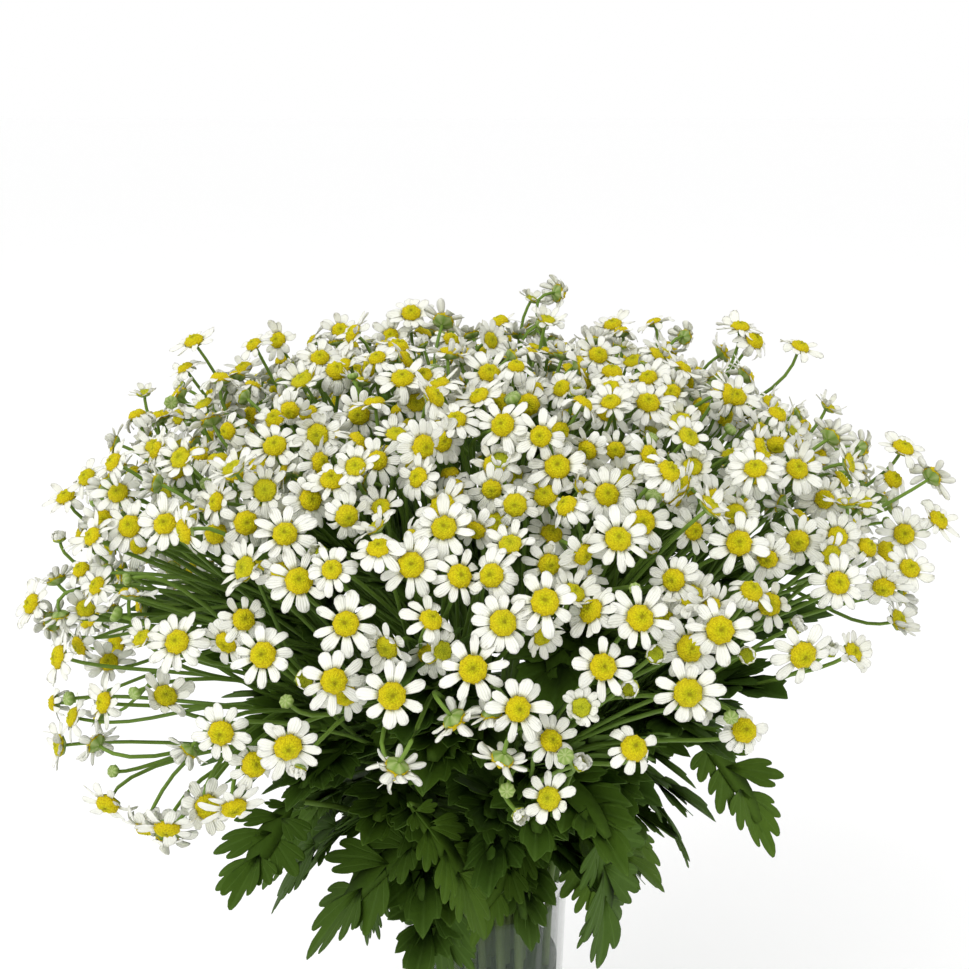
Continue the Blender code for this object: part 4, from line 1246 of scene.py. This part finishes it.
class BOUQUET_OT_flowering_stems(bpy.types.Operator):
    """Grows each flowering stem with its heads, buds, stalks and leaves"""

    bl_idname = "bouquet.flowering_stems"
    bl_label = "Flowering stems"

    def execute(self, context):
        sizes, colours = context.scene.bouquet_sizes, context.scene.bouquet_colours
        finishes = [kind[2](colours) for kind in KINDS]
        hubs = hub_points()
        heads = planned_heads(random.Random(PLAN_SEED))
        heads += apart_from(heads, seen_heads(random.Random(SEEN_SEED)))
        heads += filler_heads(heads, sizes, random.Random(FILLER_SEED))
        for index, (node, hub, share) in enumerate(zip(FLOWERING_NODES, hubs, share_heads(heads, hubs))):
            draw = np.random.default_rng(FLOWERING_SEED + index)
            growths = [Growth(*kind[3]) for kind in KINDS]
            petals, discs, greens, leaves = growths
            route = stem_route(index, hub)
            add_stem(greens, route, sizes, STEM_TIP_YOUTH)
            for head in share:
                add_head(petals, discs, greens, head, route, sizes, draw)
            low = hub.z < LOW_HUB and (hub.x < 0 or hub.y < 0)
            add_stem_leaves(leaves, route, sizes.inner_leaves + (LOW_LEAVES if low else 0), draw)
            for growth, finish, (name, slot, _, _) in zip(growths, finishes, KINDS):
                growth.build(name + node[-2:], finish, slot, node)
        return {"FINISHED"}


class BOUQUET_OT_leafy_stems(bpy.types.Operator):
    """Grows the leafy stems round the neck, each with its large lobed leaves"""

    bl_idname = "bouquet.leafy_stems"
    bl_label = "Leafy stems"

    def execute(self, context):
        # The frame has plain materials of the same names, so the finishes are taken from their pieces
        green = bpy.data.objects["stalks_01"].active_material
        leaf = bpy.data.objects["stem_leaves_01"].active_material
        for number, node in enumerate(LEAFY_NODES):
            draw = np.random.default_rng(LEAFY_SEED + number)
            index = FLOWERING_STEMS + number
            out = round_axis(1, stem_turn(index), 0)
            reach, height = (value * MM for value in LEAFY_ENDS[number])
            route = stem_route(index, out * reach + Vector((0, 0, height)))
            stalks, leaves = Growth(*KINDS[2][3]), Growth(*KINDS[3][3])
            add_stem(stalks, route, context.scene.bouquet_sizes, LEAFY_TIP_YOUTH)
            for share, aside, rise, length in LEAVES_IN_FRONT.get(number, LEAVES_BEHIND):
                foot, _ = along_route(route, share, 2)
                along = Matrix.Rotation(aside, 3, "Z") @ out + Vector((0, 0, rise))
                add_leaf(leaves, foot, along, (0, 0, 1), length * MM, draw)
            stalks.build("leafy_stalk_" + node[-2:], green, "stem_green", node)
            leaves.build("lobed_leaves_" + node[-2:], leaf, "leaf_green", node)
        return {"FINISHED"}


FLOOR_SIZE = 60


def softbox(name, place, size, power):
    light = bpy.data.lights.new(name, "AREA")
    light.size = size
    light.energy = power
    made = bpy.data.objects.new(name, light)
    made.location = place
    made.rotation_euler = (DOME_CENTRE - Vector(place)).to_track_quat("-Z", "Y").to_euler()
    bpy.context.scene.collection.objects.link(made)


class BOUQUET_OT_stage(bpy.types.Operator):
    """Sets the pale floor, the soft light and the camera"""

    bl_idname = "bouquet.stage"
    bl_label = "Stage"

    def execute(self, context):
        scene = context.scene
        camera = bpy.data.objects.new("Camera", bpy.data.cameras.new("Camera"))
        camera.data.sensor_width = SENSOR_MM
        camera.data.lens = SENSOR_MM * EYE_FOCAL_PIXELS / EYE_FRAME
        camera.location = EYE
        camera.rotation_euler = (math.pi / 2 + EYE_PITCH, 0, 0)
        scene.collection.objects.link(camera)
        scene.camera = camera
        bpy.ops.mesh.primitive_plane_add(size=FLOOR_SIZE)
        floor = context.object
        floor.name = "floor"
        floor.data.materials.append(floor_finish(scene.bouquet_colours))
        world = bpy.data.worlds.new("studio")
        world.use_nodes = True
        sky = world.node_tree.nodes["Background"]
        sky.inputs["Color"].default_value = (1, 1, 1, 1)
        sky.inputs["Strength"].default_value = 1.0
        scene.world = world
        softbox("key", place=(-0.9, -1.0, 1.5), size=1.0, power=12)
        softbox("fill", place=(1.2, -0.6, 0.9), size=1.2, power=2)
        scene.view_settings.view_transform = "Standard"
        return {"FINISHED"}


class BOUQUET_PT_pieces(bpy.types.Panel):
    """Lists the bouquet's pieces and settings"""

    bl_label = "Bouquet"
    bl_idname = "BOUQUET_PT_pieces"
    bl_space_type = "VIEW_3D"
    bl_region_type = "UI"
    bl_category = "Bouquet"

    def draw(self, context):
        for group in (context.scene.bouquet_sizes, context.scene.bouquet_colours):
            for name in group.__annotations__:
                self.layout.prop(group, name)
        for operator in OPERATORS:
            self.layout.operator(operator.bl_idname)


OPERATORS = (
    BOUQUET_OT_vase,
    BOUQUET_OT_water,
    BOUQUET_OT_flowering_stems,
    BOUQUET_OT_leafy_stems,
    BOUQUET_OT_stage,
)
CLASSES = (BouquetSizes, BouquetColours, *OPERATORS, BOUQUET_PT_pieces)


def register():
    for made in CLASSES:
        bpy.utils.register_class(made)
    bpy.types.Scene.bouquet_sizes = PointerProperty(type=BouquetSizes)
    bpy.types.Scene.bouquet_colours = PointerProperty(type=BouquetColours)


def unregister():
    del bpy.types.Scene.bouquet_sizes
    del bpy.types.Scene.bouquet_colours
    for made in reversed(CLASSES):
        bpy.utils.unregister_class(made)


def main():
    register()
    bpy.ops.bouquet.vase()
    bpy.ops.bouquet.water()
    bpy.ops.bouquet.flowering_stems()
    bpy.ops.bouquet.leafy_stems()
    bpy.ops.bouquet.stage()


if __name__ == "__main__":
    main()
